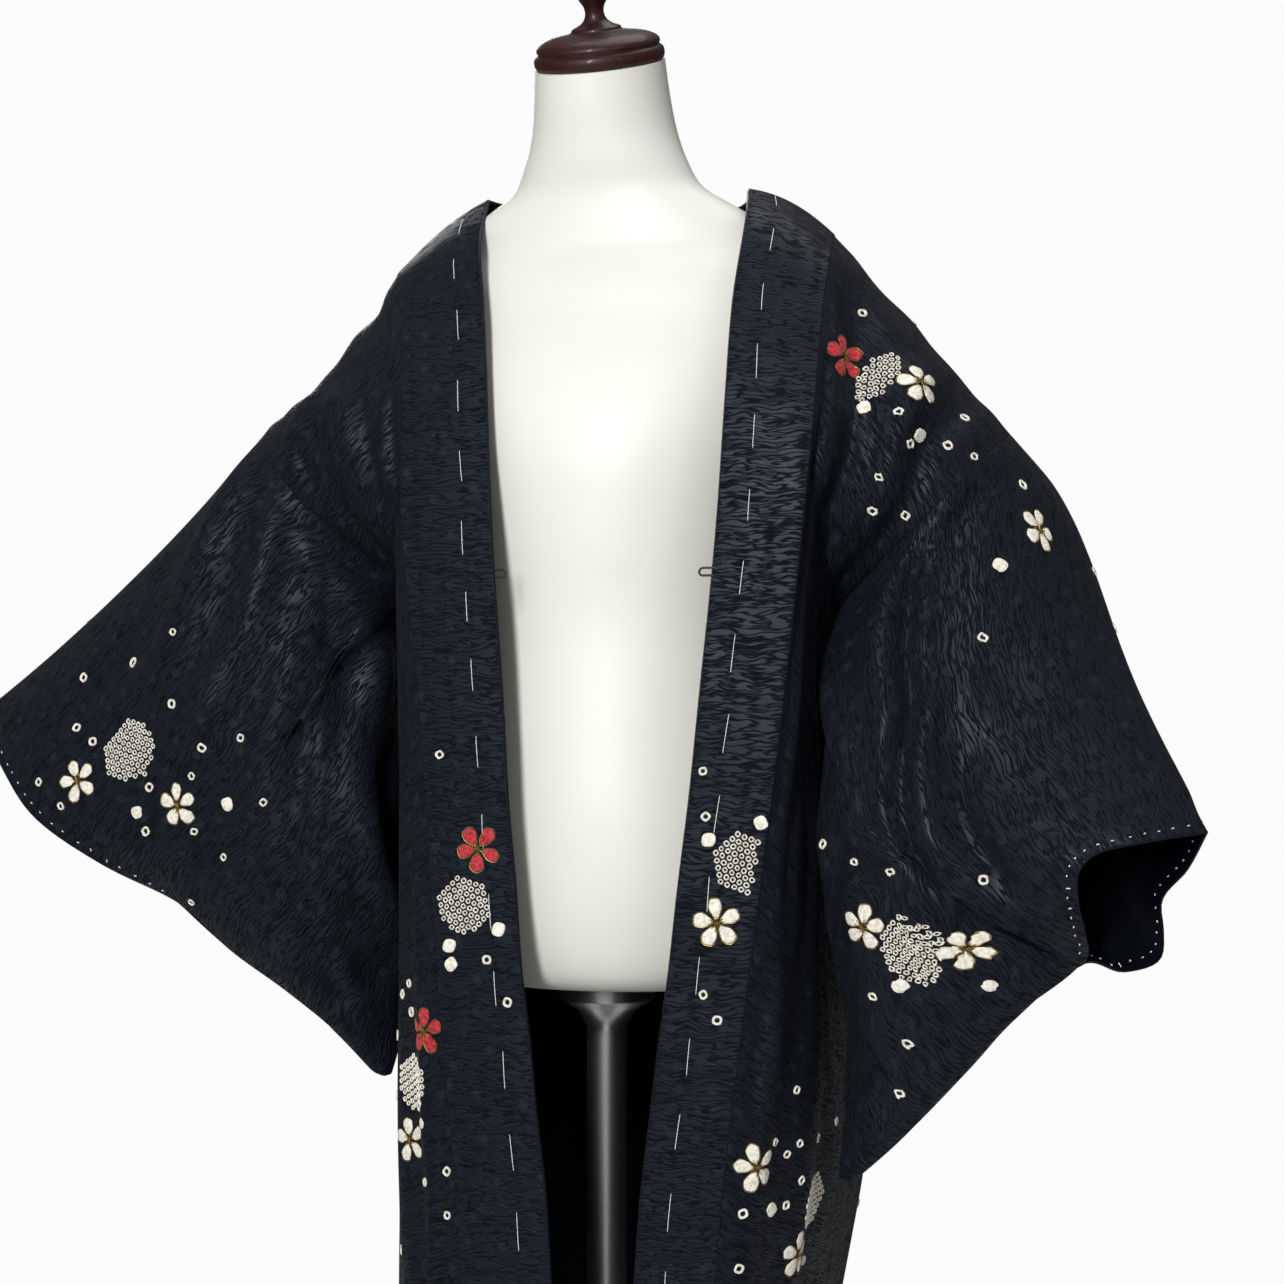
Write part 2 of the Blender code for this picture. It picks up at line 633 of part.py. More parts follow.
def make_haori():
    silk = material("black_figured_silk", (0.013, 0.015, 0.020), 0.45)
    collar = collar_band()
    panels = {side: body_panel(side) for side in ("left", "right")}
    sleeves = {side: Sleeve(side) for side in ("left", "right")}
    gussets = {side: side_gusset(side) for side in ("left", "right")}
    ridge = FRONT_ROWS
    for side, panel in panels.items():
        neckline = range(ridge + NECK_ROWS + 1)
        sew(panel, [(panel_index(row, 0), panel_index(row, 1)) for row in neckline],
            collar, [(collar_index(side, row, COLLAR_COLUMNS), collar_index(side, row, COLLAR_COLUMNS - 1))
                     for row in neckline])
        sleeve = sleeves[side]
        for layer in (-1, 1):
            arm = range(0 if layer == -1 else 1, ARM_ROWS)
            sew(panel, [(panel_index(ridge + layer * row, PANEL_COLUMNS),
                         panel_index(ridge + layer * row, PANEL_COLUMNS - 1)) for row in arm],
                sleeve, [(sleeve.index[layer, 0, row], sleeve.index[layer, 1, row]) for row in arm])
            gusset = gussets[side]
            edge = 0 if layer == -1 else GUSSET_COLUMNS
            rows = range(SIDE_ROWS + 1)
            sew(panel, [(panel_index(ridge + layer * (ARM_ROWS + row), PANEL_COLUMNS),
                         panel_index(ridge + layer * (ARM_ROWS + row), PANEL_COLUMNS - 1)) for row in rows],
                gusset, [(row * (GUSSET_COLUMNS + 1) + edge,
                          row * (GUSSET_COLUMNS + 1) + edge - layer) for row in rows])
    centre = range(ridge + NECK_ROWS, 2 * FRONT_ROWS + 1)
    sew(panels["left"], [(panel_index(row, 0), panel_index(row, 1)) for row in centre],
        panels["right"], [(panel_index(row, 0), panel_index(row, 1)) for row in centre])
    face_alike((panels["left"], panel_index(ridge + NECK_ROWS, 0)),
               (panels["right"], panel_index(ridge + NECK_ROWS, 0)),
               (collar, collar_index("right", ridge + NECK_ROWS, COLLAR_COLUMNS)))
    wall("eri_collar", collar, COLLAR_THICK, silk)
    for side in ("left", "right"):
        wall(f"migoro_panel_{side}", panels[side], CLOTH_THICK, silk)
        wall(f"machi_gusset_{side}", gussets[side], CLOTH_THICK, silk)
        wall(f"sode_sleeve_{side}", sleeves[side], CLOTH_THICK, silk)
        make_chi(side, silk)


CHI_SHARE = 0.325       # where the loops for the cords sit on the fronts
CHI_SPREAD = 0.0050     # between the two ends of a loop
CHI_REACH = 0.0100
CHI_GAP = 0.0006         # between a loop's ends and the collar's rounded free edge
CHI_THICK = 0.0016
CHI_WIDTH = 0.0028
CHI_STEPS = 8


def make_chi(side, look):
    """A narrow cloth loop standing out from the collar's free edge, its two ends on the edge."""
    free = collar_edge(side, -CHI_SHARE, "free")
    seam = collar_edge(side, -CHI_SHARE, "seam")
    below = collar_edge(side, -CHI_SHARE - 0.01, "free")
    out = (free - seam) / np.linalg.norm(free - seam)
    down = (below - free) / np.linalg.norm(below - free)
    across = np.cross(out, down)
    radius = CHI_SPREAD / 2
    path = [(free + out * CHI_GAP - down * radius, -down)]
    for step in range(CHI_STEPS + 1):
        turn = math.pi * step / CHI_STEPS
        away = out * math.sin(turn) - down * math.cos(turn)
        path.append((free + out * (CHI_REACH - radius - CHI_THICK / 2) + away * radius, away))
    path.append((free + out * CHI_GAP + down * radius, down))
    rings = []
    for centre, away in path:
        ring = []
        for thick, wide in ((1, -1), (-1, -1), (-1, 1), (1, 1)):
            corner = centre + away * thick * CHI_THICK / 2 + across * wide * CHI_WIDTH / 2
            ring.append(sided(corner, side))
        rings.append(ring if side == "left" else ring[::-1])
    loft(f"chi_loop_{side}", rings, look)


# ---------------------------------------------------------------- the form and its stand

FORM_SIDES = 32

# Rings of the form from its flat underside up to the neck's slanted top: half width, distance
# of the front and back from the axis, and the ring's rise per metre towards the back.
FormRing = namedtuple("FormRing", "z half_width front back rise")
FORM_RINGS = (
    FormRing(0.800, 0.060, 0.045, 0.050, 0.0),
    FormRing(0.804, 0.100, 0.072, 0.080, 0.0),
    FormRing(0.820, 0.125, 0.088, 0.102, 0.0),
    FormRing(0.860, 0.136, 0.096, 0.116, 0.0),
    FormRing(0.920, 0.136, 0.096, 0.114, 0.0),
    FormRing(0.980, 0.125, 0.090, 0.098, 0.0),
    FormRing(1.050, 0.114, 0.084, 0.082, 0.0),
    FormRing(1.110, 0.120, 0.088, 0.086, 0.0),
    FormRing(1.170, 0.134, 0.090, 0.096, 0.0),
    FormRing(1.220, 0.148, 0.078, 0.098, 0.0),
    FormRing(1.260, 0.155, 0.062, 0.092, 0.0),
    FormRing(1.290, 0.150, 0.052, 0.082, 0.0),
    FormRing(1.312, 0.132, 0.040, 0.068, 0.0),
    FormRing(1.330, 0.1135, 0.0380, 0.056, 0.0),
    FormRing(1.345, 0.0890, 0.0378, 0.047, 0.02),
    FormRing(1.358, 0.069, 0.040, 0.043, 0.05),
    FormRing(1.375, 0.059, 0.046, 0.041, 0.10),
    FormRing(1.395, 0.052, 0.051, 0.039, 0.18),
    FormRing(1.418, 0.048, 0.057, 0.035, 0.27),
    FormRing(1.443, 0.0455, 0.062, 0.030, 0.36),
)
NECK_TILT = math.atan(FORM_RINGS[-1].rise)


def loft(name, rings, look):
    """A closed body through rings of points, with flat ends."""
    sides = len(rings[0])
    points = [tuple(point) for ring in rings for point in ring]
    faces = [tuple(range(sides))[::-1]]
    for r in range(len(rings) - 1):
        for i in range(sides):
            a, b = r * sides + i, r * sides + (i + 1) % sides
            faces.append((a, b, b + sides, a + sides))
    faces.append(tuple((len(rings) - 1) * sides + i for i in range(sides)))
    mesh = bpy.data.meshes.new(name)
    mesh.from_pydata(points, [], faces)
    mesh.shade_smooth()
    mesh.set_sharp_from_angle(angle=math.radians(40))
    return add(name, mesh, look)


def form_ring(ring):
    middle, depth = (ring.back - ring.front) / 2, (ring.back + ring.front) / 2
    points = []
    for i in range(FORM_SIDES):
        turn = 2 * math.pi * i / FORM_SIDES
        y = depth * math.sin(turn)
        points.append((ring.half_width * math.cos(turn), middle + y, ring.z + ring.rise * y))
    return points


def turned(name, profile, sides, look, place=Matrix()):
    """A turned body from (radius, height) pairs, bottom to top, put in its place."""
    rings = []
    for radius, height in profile:
        rings.append([place @ Vector((radius * math.cos(2 * math.pi * i / sides),
                                      radius * math.sin(2 * math.pi * i / sides), height))
                      for i in range(sides)])
    return loft(name, rings, look)


def make_form():
    white = material("white_coated_form", (0.87, 0.87, 0.83), 0.5)
    wood = material("dark_red_brown_lacquered_wood", (0.035, 0.008, 0.006), 0.2)
    steel = material("satin_steel", (0.55, 0.55, 0.56), 0.35, 1.0)
    loft("form_torso", [form_ring(ring) for ring in FORM_RINGS], white)
    top = FORM_RINGS[-1]
    seat = Matrix.Translation((0.0, (top.back - top.front) / 2, top.z))
    seat = seat @ Matrix.Rotation(NECK_TILT, 4, "X") @ Matrix.Translation((0.0, 0.0, SEAM_GAP))
    turned("neck_cap", CAP_PROFILE, 32, wood, seat)
    turned("stand_pole", POLE_PROFILE, 20, steel)
    turned("stand_base", BASE_PROFILE, 40, wood)


CAP_PROFILE = (
    (0.0435, 0.0), (0.0455, 0.002), (0.0460, 0.006), (0.0445, 0.0095), (0.0430, 0.0105),
    (0.0435, 0.0125), (0.0420, 0.0160), (0.0365, 0.0195), (0.0270, 0.0220), (0.0190, 0.0232),
    (0.0165, 0.0240), (0.0150, 0.0262), (0.0085, 0.0300), (0.0065, 0.0340), (0.0072, 0.0390),
    (0.0105, 0.0440), (0.0115, 0.0490), (0.0100, 0.0540), (0.0060, 0.0575), (0.0015, 0.0590),
)
BASE_HEIGHT = 0.026
POLE_PROFILE = (
    (0.030, BASE_HEIGHT + SEAM_GAP), (0.030, BASE_HEIGHT + 0.008), (0.020, BASE_HEIGHT + 0.016),
    (0.014, BASE_HEIGHT + 0.030), (0.014, 0.770), (0.020, 0.782), (0.034, 0.790),
    (0.034, FORM_RINGS[0].z - SEAM_GAP),
)
BASE_PROFILE = (
    (0.166, 0.0), (0.170, 0.003), (0.170, 0.010), (0.166, 0.015), (0.150, 0.019),
    (0.060, 0.0245), (0.045, BASE_HEIGHT),
)


for leftover in list(bpy.data.objects):
    bpy.data.objects.remove(leftover)
make_haori()
make_form()
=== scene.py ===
"""Haori jacket on a dress form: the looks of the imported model.

Metres, +Z up, the front faces -Y and the wearer's left is +X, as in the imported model. Each
piece of cloth is a thin shell on its solid's form. Its surface is worked out from the same
short tables as the solids, on a finer grid and with more creases. A place on a piece is
given in the flat cut: metres across (or along a sleeve) and metres down from the shoulder
ridge or top fold, with places on the front below 0 and places on the back above 0.
"""
import json
import math
import random
from collections import namedtuple

import bpy
import numpy as np
from mathutils import Matrix, Vector

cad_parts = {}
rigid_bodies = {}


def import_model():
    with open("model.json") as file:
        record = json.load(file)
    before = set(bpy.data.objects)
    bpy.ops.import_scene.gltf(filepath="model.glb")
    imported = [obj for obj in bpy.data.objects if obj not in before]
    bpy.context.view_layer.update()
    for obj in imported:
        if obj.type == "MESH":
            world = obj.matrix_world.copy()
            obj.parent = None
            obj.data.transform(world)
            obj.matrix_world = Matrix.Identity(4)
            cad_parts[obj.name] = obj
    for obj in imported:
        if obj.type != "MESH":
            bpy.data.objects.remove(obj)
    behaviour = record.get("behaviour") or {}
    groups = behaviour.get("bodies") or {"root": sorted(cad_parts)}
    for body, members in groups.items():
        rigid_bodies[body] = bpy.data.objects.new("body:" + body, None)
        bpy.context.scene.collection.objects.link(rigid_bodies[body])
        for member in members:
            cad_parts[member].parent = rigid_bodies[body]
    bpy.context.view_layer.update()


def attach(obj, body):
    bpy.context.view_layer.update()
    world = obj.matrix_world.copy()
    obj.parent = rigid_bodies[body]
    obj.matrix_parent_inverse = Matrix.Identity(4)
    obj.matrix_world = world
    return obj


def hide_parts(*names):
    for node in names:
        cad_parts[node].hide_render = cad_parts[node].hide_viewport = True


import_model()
scene = bpy.context.scene


# ======================================================================== dress form
# A limbless display form of moulded glass fibre, filled, sanded and sprayed with a smooth
# white satin coating. Its neck is cut at a slant for the wooden cap and its underside takes
# the pole of the stand. The jacket's shoulders and back neck rest on it.

FORM_SIDES = 96
FORM_STEPS = 5          # steps between two rings of the table
SHARP_ANGLE = math.radians(40)
FORM_WHITE = "E6E6DF"
FORM_SHADE = "E4E3DA"
COATING_GRAIN = 0.0011  # the sprayed coat's faint orange peel, drawn coarser than it is
DUST_PATCH = 1 / 9      # 11 cm: size of the cloudy patches in which a little dust has settled


def table(kind, *rows):
    """The rows of a table as named tuples."""
    return tuple(kind(*row) for row in rows)


# Rings from the flat underside up to the neck's slanted top: half width, distance of the
# front and the back from the axis, and the ring's rise per metre towards the back.
FormRing = namedtuple("FormRing", "z half_width front back rise")
FORM_RINGS = table(FormRing,
    (0.800, 0.060, 0.045, 0.050, 0.0),
    (0.804, 0.100, 0.072, 0.080, 0.0),
    (0.820, 0.125, 0.088, 0.102, 0.0),
    (0.860, 0.136, 0.096, 0.116, 0.0),
    (0.920, 0.136, 0.096, 0.114, 0.0),
    (0.980, 0.125, 0.090, 0.098, 0.0),
    (1.050, 0.114, 0.084, 0.082, 0.0),
    (1.110, 0.120, 0.088, 0.086, 0.0),
    (1.170, 0.134, 0.090, 0.096, 0.0),
    (1.220, 0.148, 0.078, 0.098, 0.0),
    (1.260, 0.155, 0.062, 0.092, 0.0),
    (1.290, 0.150, 0.052, 0.082, 0.0),
    (1.312, 0.132, 0.040, 0.068, 0.0),
    (1.330, 0.1135, 0.0380, 0.056, 0.0),
    (1.345, 0.0890, 0.0378, 0.047, 0.02),
    (1.358, 0.069, 0.040, 0.043, 0.05),
    (1.375, 0.059, 0.046, 0.041, 0.10),
    (1.395, 0.052, 0.051, 0.039, 0.18),
    (1.418, 0.048, 0.057, 0.035, 0.27),
    (1.443, 0.0455, 0.062, 0.030, 0.36),
)


def linear(colour):
    """An sRGB hex colour as a linear colour with alpha 1."""
    parts = [int(colour[i:i + 2], 16) / 255 for i in (0, 2, 4)]
    return (*[p / 12.92 if p <= 0.04045 else ((p + 0.055) / 1.055) ** 2.4 for p in parts], 1.0)


def add_node(look, kind, inputs=None, **settings):
    """A shader node with its settings; an input is a value, a node's first output or any output."""
    made = look.node_tree.nodes.new("ShaderNode" + kind)
    for name, value in settings.items():
        setattr(made, name, value)
    for name, value in (inputs or {}).items():
        if isinstance(value, bpy.types.Node):
            value = value.outputs[0]
        if isinstance(value, bpy.types.NodeSocket):
            look.node_tree.links.new(value, made.inputs[name])
        else:
            made.inputs[name].default_value = value
    return made


def start_look(look):
    """A new material or world, with its node tree emptied."""
    look.use_nodes = True
    look.node_tree.nodes.clear()
    return look


def close_material(look, surface):
    """The material's one surface, with these inputs, on its output."""
    shader = add_node(look, "BsdfPrincipled", surface)
    add_node(look, "OutputMaterial", {"Surface": shader})
    return look


def two_colours(look, factor, low, low_colour, high, high_colour):
    """From one sRGB hex colour at the low factor to another at the high one."""
    ramp = add_node(look, "ValToRGB", {"Fac": factor})
    for element, place, colour in zip(ramp.color_ramp.elements, (low, high), (low_colour, high_colour)):
        element.position = place
        element.color = linear(colour)
    return ramp


def fine_grain(look, place, width, detail, strength, height):
    """A surface roughened by a random grain of this width and height."""
    grain = add_node(look, "TexNoise", {"Vector": place, "Scale": 1 / width, "Detail": detail})
    return add_node(look, "Bump", {"Height": grain, "Strength": strength, "Distance": height})


def sprayed_white_coating():
    """Satin lacquer on glass fibre: nearly white, softly glossy, a breath of dust in places."""
    look = start_look(bpy.data.materials.new("sprayed_white_satin_coating"))
    place = add_node(look, "TexCoord").outputs["Object"]
    dust = add_node(look, "TexNoise", {"Vector": place, "Scale": 1 / DUST_PATCH, "Detail": 3.0})
    rough = add_node(look, "MapRange", {"Value": dust, "To Min": 0.38, "To Max": 0.52})
    return close_material(look, {
        "Base Color": two_colours(look, dust, 0.35, FORM_SHADE, 0.62, FORM_WHITE),
        "Roughness": rough, "IOR": 1.49,
        "Normal": fine_grain(look, place, COATING_GRAIN, detail=2.0, strength=0.06, height=0.0004),
    })


def read(rows, share):
    """The columns after the first of a table, at this share, on a smooth curve through its rows."""
    data = np.array([tuple(row) for row in rows], float)
    stations, values = data[:, 0], data[:, 1:]
    steps = np.diff(stations)
    rises = np.diff(values, axis=0) / steps[:, None]
    slopes = np.empty_like(values)
    slopes[0], slopes[-1] = rises[0], rises[-1]
    weight = (steps[:-1] / (steps[:-1] + steps[1:]))[:, None]
    slopes[1:-1] = rises[:-1] * (1 - weight) + rises[1:] * weight
    share = min(max(share, stations[0]), stations[-1])
    i = min(int(np.searchsorted(stations, share, side="right")) - 1, len(steps) - 1)
    t = (share - stations[i]) / steps[i]
    return ((2 * t**3 - 3 * t**2 + 1) * values[i] + (t**3 - 2 * t**2 + t) * steps[i] * slopes[i]
            + (3 * t**2 - 2 * t**3) * values[i + 1] + (t**3 - t**2) * steps[i] * slopes[i + 1])


def turns(count):
    """Angles spaced evenly round a circle."""
    return np.linspace(0, 2 * math.pi, count, endpoint=False)


def closed_faces(loops, sides):
    """The faces between loops of points that follow one another, with flat ends."""
    faces = [tuple(range(sides))[::-1]]
    for first in range(0, (loops - 1) * sides, sides):
        for i in range(sides):
            a, b = first + i, first + (i + 1) % sides
            faces.append((a, b, b + sides, a + sides))
    faces.append(tuple(range((loops - 1) * sides, loops * sides)))
    return faces


def add_mesh(name, points, faces, *looks, crisp=True):
    """A smooth-shaded piece with its materials; a crisp one is sharp where faces meet steeply."""
    mesh = bpy.data.meshes.new(name)
    mesh.from_pydata(np.asarray(points).tolist(), [], faces)
    mesh.shade_smooth()
    if crisp:
        mesh.set_sharp_from_angle(angle=SHARP_ANGLE)
    for look in looks:
        mesh.materials.append(look)
    thing = bpy.data.objects.new(name, mesh)
    scene.collection.objects.link(thing)
    return thing


def loft(name, rings, look):
    """A closed body through rings of points, with flat ends."""
    return add_mesh(name, np.concatenate(rings), closed_faces(len(rings), len(rings[0])), look)


def form_ring(ring):
    middle, depth = (ring.back - ring.front) / 2, (ring.back + ring.front) / 2
    x = ring.half_width * np.cos(turns(FORM_SIDES))
    y = depth * np.sin(turns(FORM_SIDES))
    return np.stack((x, middle + y, ring.z + ring.rise * y), axis=1)


def form_rings():
    rings = [form_ring(FORM_RINGS[0]), form_ring(FORM_RINGS[1])]
    numbered = [(number, *ring) for number, ring in enumerate(FORM_RINGS)]
    for step in range(FORM_STEPS + 1, FORM_STEPS * (len(FORM_RINGS) - 1) + 1):
        rings.append(form_ring(FormRing(*read(numbered, step / FORM_STEPS))))
    return rings


def stand_for(piece, node):
    """The piece is the look of this solid, which is hidden, and joins the root body; nothing on the
    object moves.
    """
    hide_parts(node)
    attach(piece, "root")


dress_form = loft("dress_form", form_rings(), sprayed_white_coating())
stand_for(dress_form, "form_torso")


# ======================================================================== cap, pole and base
# The cap and the base are beech turned on a lathe, stained dark red-brown and lacquered to a
# soft gloss. The cap is pegged into the neck's slanted top. The pole is a satin steel tube
# with a flange on the base and a cup under the form.

WOOD_SIDES = 96
WOOD_DARK = "150504"
WOOD_RED = "3C0F09"
GRAIN_SPACING = 0.0030  # from one dark line of the beech to the next
GRAIN_RUN = 0.12        # width of such a line, as a share of its length
STEEL = "C4C5C8"
BRUSH_SPACING = 0.0006  # brushing lines round the tube, drawn coarser than they are
BRUSH_RUN = 0.04        # width of such a line, as a share of its length
SEAT_GAP = 0.0003       # parts of the stand stand this far apart
BASE_HEIGHT = 0.026

NECK_TOP = FORM_RINGS[-1]
CAP_PROFILE = (         # (radius, height) from the neck upwards
    (0.0425, 0.0000), (0.0440, 0.0003), (0.0452, 0.0012), (0.0459, 0.0030), (0.0461, 0.0050),
    (0.0459, 0.0070), (0.0452, 0.0086), (0.0442, 0.0096), (0.0433, 0.0101), (0.0429, 0.0107),
    (0.0430, 0.0115), (0.0435, 0.0123), (0.0436, 0.0134), (0.0431, 0.0148), (0.0418, 0.0163),
    (0.0395, 0.0180), (0.0360, 0.0197), (0.0315, 0.0211), (0.0265, 0.0221), (0.0215, 0.0228),
    (0.0190, 0.0231), (0.0181, 0.0234), (0.0176, 0.0240), (0.0175, 0.0248), (0.0170, 0.0255),
    (0.0155, 0.0262), (0.0128, 0.0272), (0.0103, 0.0286), (0.0084, 0.0305), (0.0071, 0.0328),
    (0.0066, 0.0352), (0.0067, 0.0376), (0.0075, 0.0402), (0.0091, 0.0428), (0.0106, 0.0452),
    (0.0114, 0.0478), (0.0114, 0.0504), (0.0106, 0.0532), (0.0090, 0.0556), (0.0065, 0.0574),
    (0.0036, 0.0585), (0.0010, 0.0589),
)
POLE_PROFILE = (
    (0.0290, BASE_HEIGHT + SEAT_GAP), (0.0300, BASE_HEIGHT + 0.0010), (0.0300, BASE_HEIGHT + 0.0070),
    (0.0290, BASE_HEIGHT + 0.0085), (0.0220, BASE_HEIGHT + 0.0120), (0.0190, BASE_HEIGHT + 0.0170),
    (0.0160, BASE_HEIGHT + 0.0250), (0.0142, BASE_HEIGHT + 0.0300), (0.0140, BASE_HEIGHT + 0.0320),
    (0.0140, 0.7660), (0.0143, 0.7700), (0.0200, 0.7810), (0.0310, 0.7880), (0.0335, 0.7900),
    (0.0340, 0.7915), (0.0340, FORM_RINGS[0].z - SEAT_GAP),
)
BASE_PROFILE = (
    (0.1640, 0.0000), (0.1675, 0.0006), (0.1695, 0.0022), (0.1700, 0.0045), (0.1700, 0.0085),
    (0.1693, 0.0115), (0.1675, 0.0138), (0.1645, 0.0152), (0.1600, 0.0160), (0.1570, 0.0166),
    (0.1555, 0.0176), (0.1530, 0.0185), (0.1480, 0.0190), (0.1300, 0.0201), (0.1000, 0.0219),
    (0.0750, 0.0234), (0.0600, 0.0244), (0.0530, 0.0252), (0.0450, BASE_HEIGHT),
)


def turned(name, profile, look, place=Matrix()):
    """A turned body from (radius, height) pairs, bottom to top, put in its place."""
    rings = []
    for radius, height in profile:
        rings.append([place @ Vector((radius * math.cos(turn), radius * math.sin(turn), height))
                      for turn in turns(WOOD_SIDES)])
    return loft(name, rings, look)


def lacquered_beech():
    """Stained beech under a thin lacquer: dark, softly glossy, with its grain just showing."""
    look = start_look(bpy.data.materials.new("lacquered_dark_red_beech"))
    place = add_node(look, "TexCoord").outputs["Object"]
    long_grain = add_node(look, "Mapping", {"Vector": place, "Scale": (1.0, GRAIN_RUN, 1.0)})
    grain = add_node(look, "TexNoise", {"Vector": long_grain, "Scale": 1 / GRAIN_SPACING,
                                        "Detail": 5.0, "Roughness": 0.62, "Distortion": 0.6})
    return close_material(look, {
        "Base Color": two_colours(look, grain, 0.32, WOOD_DARK, 0.70, WOOD_RED),
        "Roughness": 0.50, "IOR": 1.40, "Coat Weight": 0.15, "Coat Roughness": 0.08,
        "Normal": add_node(look, "Bump", {"Height": grain, "Strength": 0.05, "Distance": 0.0003}),
    })


def brushed_steel_tube():
    """Steel tube brushed on the lathe: fine lines round it, a grey satin streak of light."""
    look = start_look(bpy.data.materials.new("brushed_satin_steel"))
    place = add_node(look, "TexCoord").outputs["Object"]
    round_lines = add_node(look, "Mapping", {"Vector": place, "Scale": (BRUSH_RUN, BRUSH_RUN, 1.0)})
    lines = add_node(look, "TexNoise", {"Vector": round_lines, "Scale": 1 / BRUSH_SPACING,
                                        "Detail": 3.0})
    return close_material(look, {
        "Base Color": linear(STEEL), "Metallic": 1.0,
        "Roughness": add_node(look, "MapRange", {"Value": lines, "To Min": 0.26, "To Max": 0.42}),
        "Normal": add_node(look, "Bump", {"Height": lines, "Strength": 0.10, "Distance": 0.0002}),
    })


beech = lacquered_beech()
neck_seat = Matrix.Translation((0.0, (NECK_TOP.back - NECK_TOP.front) / 2, NECK_TOP.z))
neck_seat = neck_seat @ Matrix.Rotation(math.atan(NECK_TOP.rise), 4, "X")
neck_seat = neck_seat @ Matrix.Translation((0.0, 0.0, SEAT_GAP))
STAND_PIECES = (        # piece, profile, material, place, the solid it stands for, its slot
    ("turned_cap", CAP_PROFILE, beech, neck_seat, "neck_cap", "dark_red_brown_lacquered_wood"),
    ("turned_base", BASE_PROFILE, beech, Matrix(), "stand_base", "dark_red_brown_lacquered_wood"),
    ("steel_pole", POLE_PROFILE, brushed_steel_tube(), Matrix(), "stand_pole", "satin_steel"),
)
for piece_name, profile, look, place, node_name, slot_name in STAND_PIECES:
    stand_for(turned(piece_name, profile, look, place), node_name)


# ======================================================================== body panels (migoro)
# The body is two panels of black figured silk satin, each cut in one length from the front
# hem over the shoulder to the back hem. They are sewn to each other at the centre back and
# hang open in front. The silk falls in soft upright folds from the shoulder and the chest.

CLOTH_THICK = 0.0016
ARM_SHARE = 0.24        # share of the panel's length that the sleeve is sewn to
NECK_SHARE = ARM_SHARE / 2      # share of the panel's length that runs round the back neck
PANEL_ROWS = 200        # rows from the shoulder ridge to a hem
ARM_ROWS = int(ARM_SHARE * PANEL_ROWS)
NECK_ROWS = int(NECK_SHARE * PANEL_ROWS)
PANEL_COLUMNS = 46
PANEL_LENGTH = 0.91     # from the shoulder ridge to a hem
PANEL_CUT = (0.25, 1.80)        # the flat cut: mean width and whole length
GUSSET_TOP = 0.014
GUSSET_HEM = 0.060
EDGE_ROLL = 0.006       # share of a piece beside its edges in which they roll over
ROLLED_OUT = 0.45       # how far a rolled edge stands out, as a share of the cloth's thickness
SIDES = ("left", "right")

# The fronts are read from the shoulder ridge (share 0) down to the hem (share 1). Sizes
# across are counted outwards from the centre line.
FrontEdge = namedtuple("FrontEdge", "share free_x free_y free_z seam_x seam_y seam_z")
FRONT_EDGE = {
    "left": table(FrontEdge,
        (0.000, 0.100, 0.012, 1.354, 0.158, 0.015, 1.322),
        (0.035, 0.110, -0.028, 1.332, 0.166, -0.022, 1.306),
        (0.115, 0.111, -0.066, 1.270, 0.170, -0.061, 1.262),
        (0.195, 0.113, -0.092, 1.200, 0.171, -0.088, 1.197),
        (0.275, 0.112, -0.107, 1.130, 0.168, -0.103, 1.130),
        (0.420, 0.103, -0.120, 1.000, 0.157, -0.116, 1.000),
        (0.590, 0.086, -0.127, 0.840, 0.138, -0.123, 0.840),
        (0.765, 0.067, -0.131, 0.680, 0.119, -0.127, 0.680),
        (1.000, 0.054, -0.132, 0.462, 0.106, -0.128, 0.462),
    ),
    "right": table(FrontEdge,
        (0.000, 0.094, 0.012, 1.358, 0.160, 0.018, 1.314),
        (0.035, 0.084, -0.028, 1.332, 0.150, -0.020, 1.302),
        (0.115, 0.068, -0.066, 1.270, 0.129, -0.062, 1.264),
        (0.195, 0.056, -0.092, 1.200, 0.118, -0.088, 1.198),
        (0.275, 0.047, -0.107, 1.130, 0.112, -0.103, 1.130),
        (0.420, 0.034, -0.120, 1.000, 0.094, -0.116, 1.000),
        (0.590, 0.019, -0.127, 0.840, 0.079, -0.123, 0.840),
        (0.765, 0.000, -0.131, 0.680, 0.0635, -0.127, 0.680),
        (1.000, -0.015, -0.132, 0.462, 0.048, -0.128, 0.462),
    ),
}
NECK_BACK_FREE = (0.0, 0.088, 1.338)    # the collar's two edges at the centre back
NECK_BACK_SEAM = (0.0, 0.125, 1.272)

BackLine = namedtuple("BackLine", "share y z")
CENTRE_BACK = table(BackLine,
    (0.12, 0.125, 1.272),
    (0.20, 0.148, 1.205),
    (0.30, 0.170, 1.112),
    (0.42, 0.187, 1.000),
    (0.60, 0.197, 0.832),
    (0.80, 0.200, 0.645),
    (1.00, 0.205, 0.456),
)

# How a panel's row bends between its inner and outer end: the bend point lies this share of
# the way across, this share of the way back and this far below the middle.
RowBend = namedtuple("RowBend", "share across back drop")
FRONT_BEND = {
    "left": table(RowBend,
        (0.00, 0.50, 0.50, 0.000),
        (0.12, 0.55, 0.25, 0.000),
        (0.24, 0.80, 0.20, 0.000),
        (0.42, 1.20, 0.15, 0.000),
        (0.70, 1.05, 0.10, 0.000),
        (1.00, 1.00, 0.10, 0.000),
    ),
    "right": table(RowBend,
        (0.00, 0.50, 0.50, 0.026),
        (0.12, 0.45, 0.30, 0.010),
        (0.24, 0.40, 0.20, 0.000),
        (0.42, 0.40, 0.12, 0.000),
        (0.70, 0.60, 0.10, 0.000),
        (1.00, 0.70, 0.10, 0.000),
    ),
}


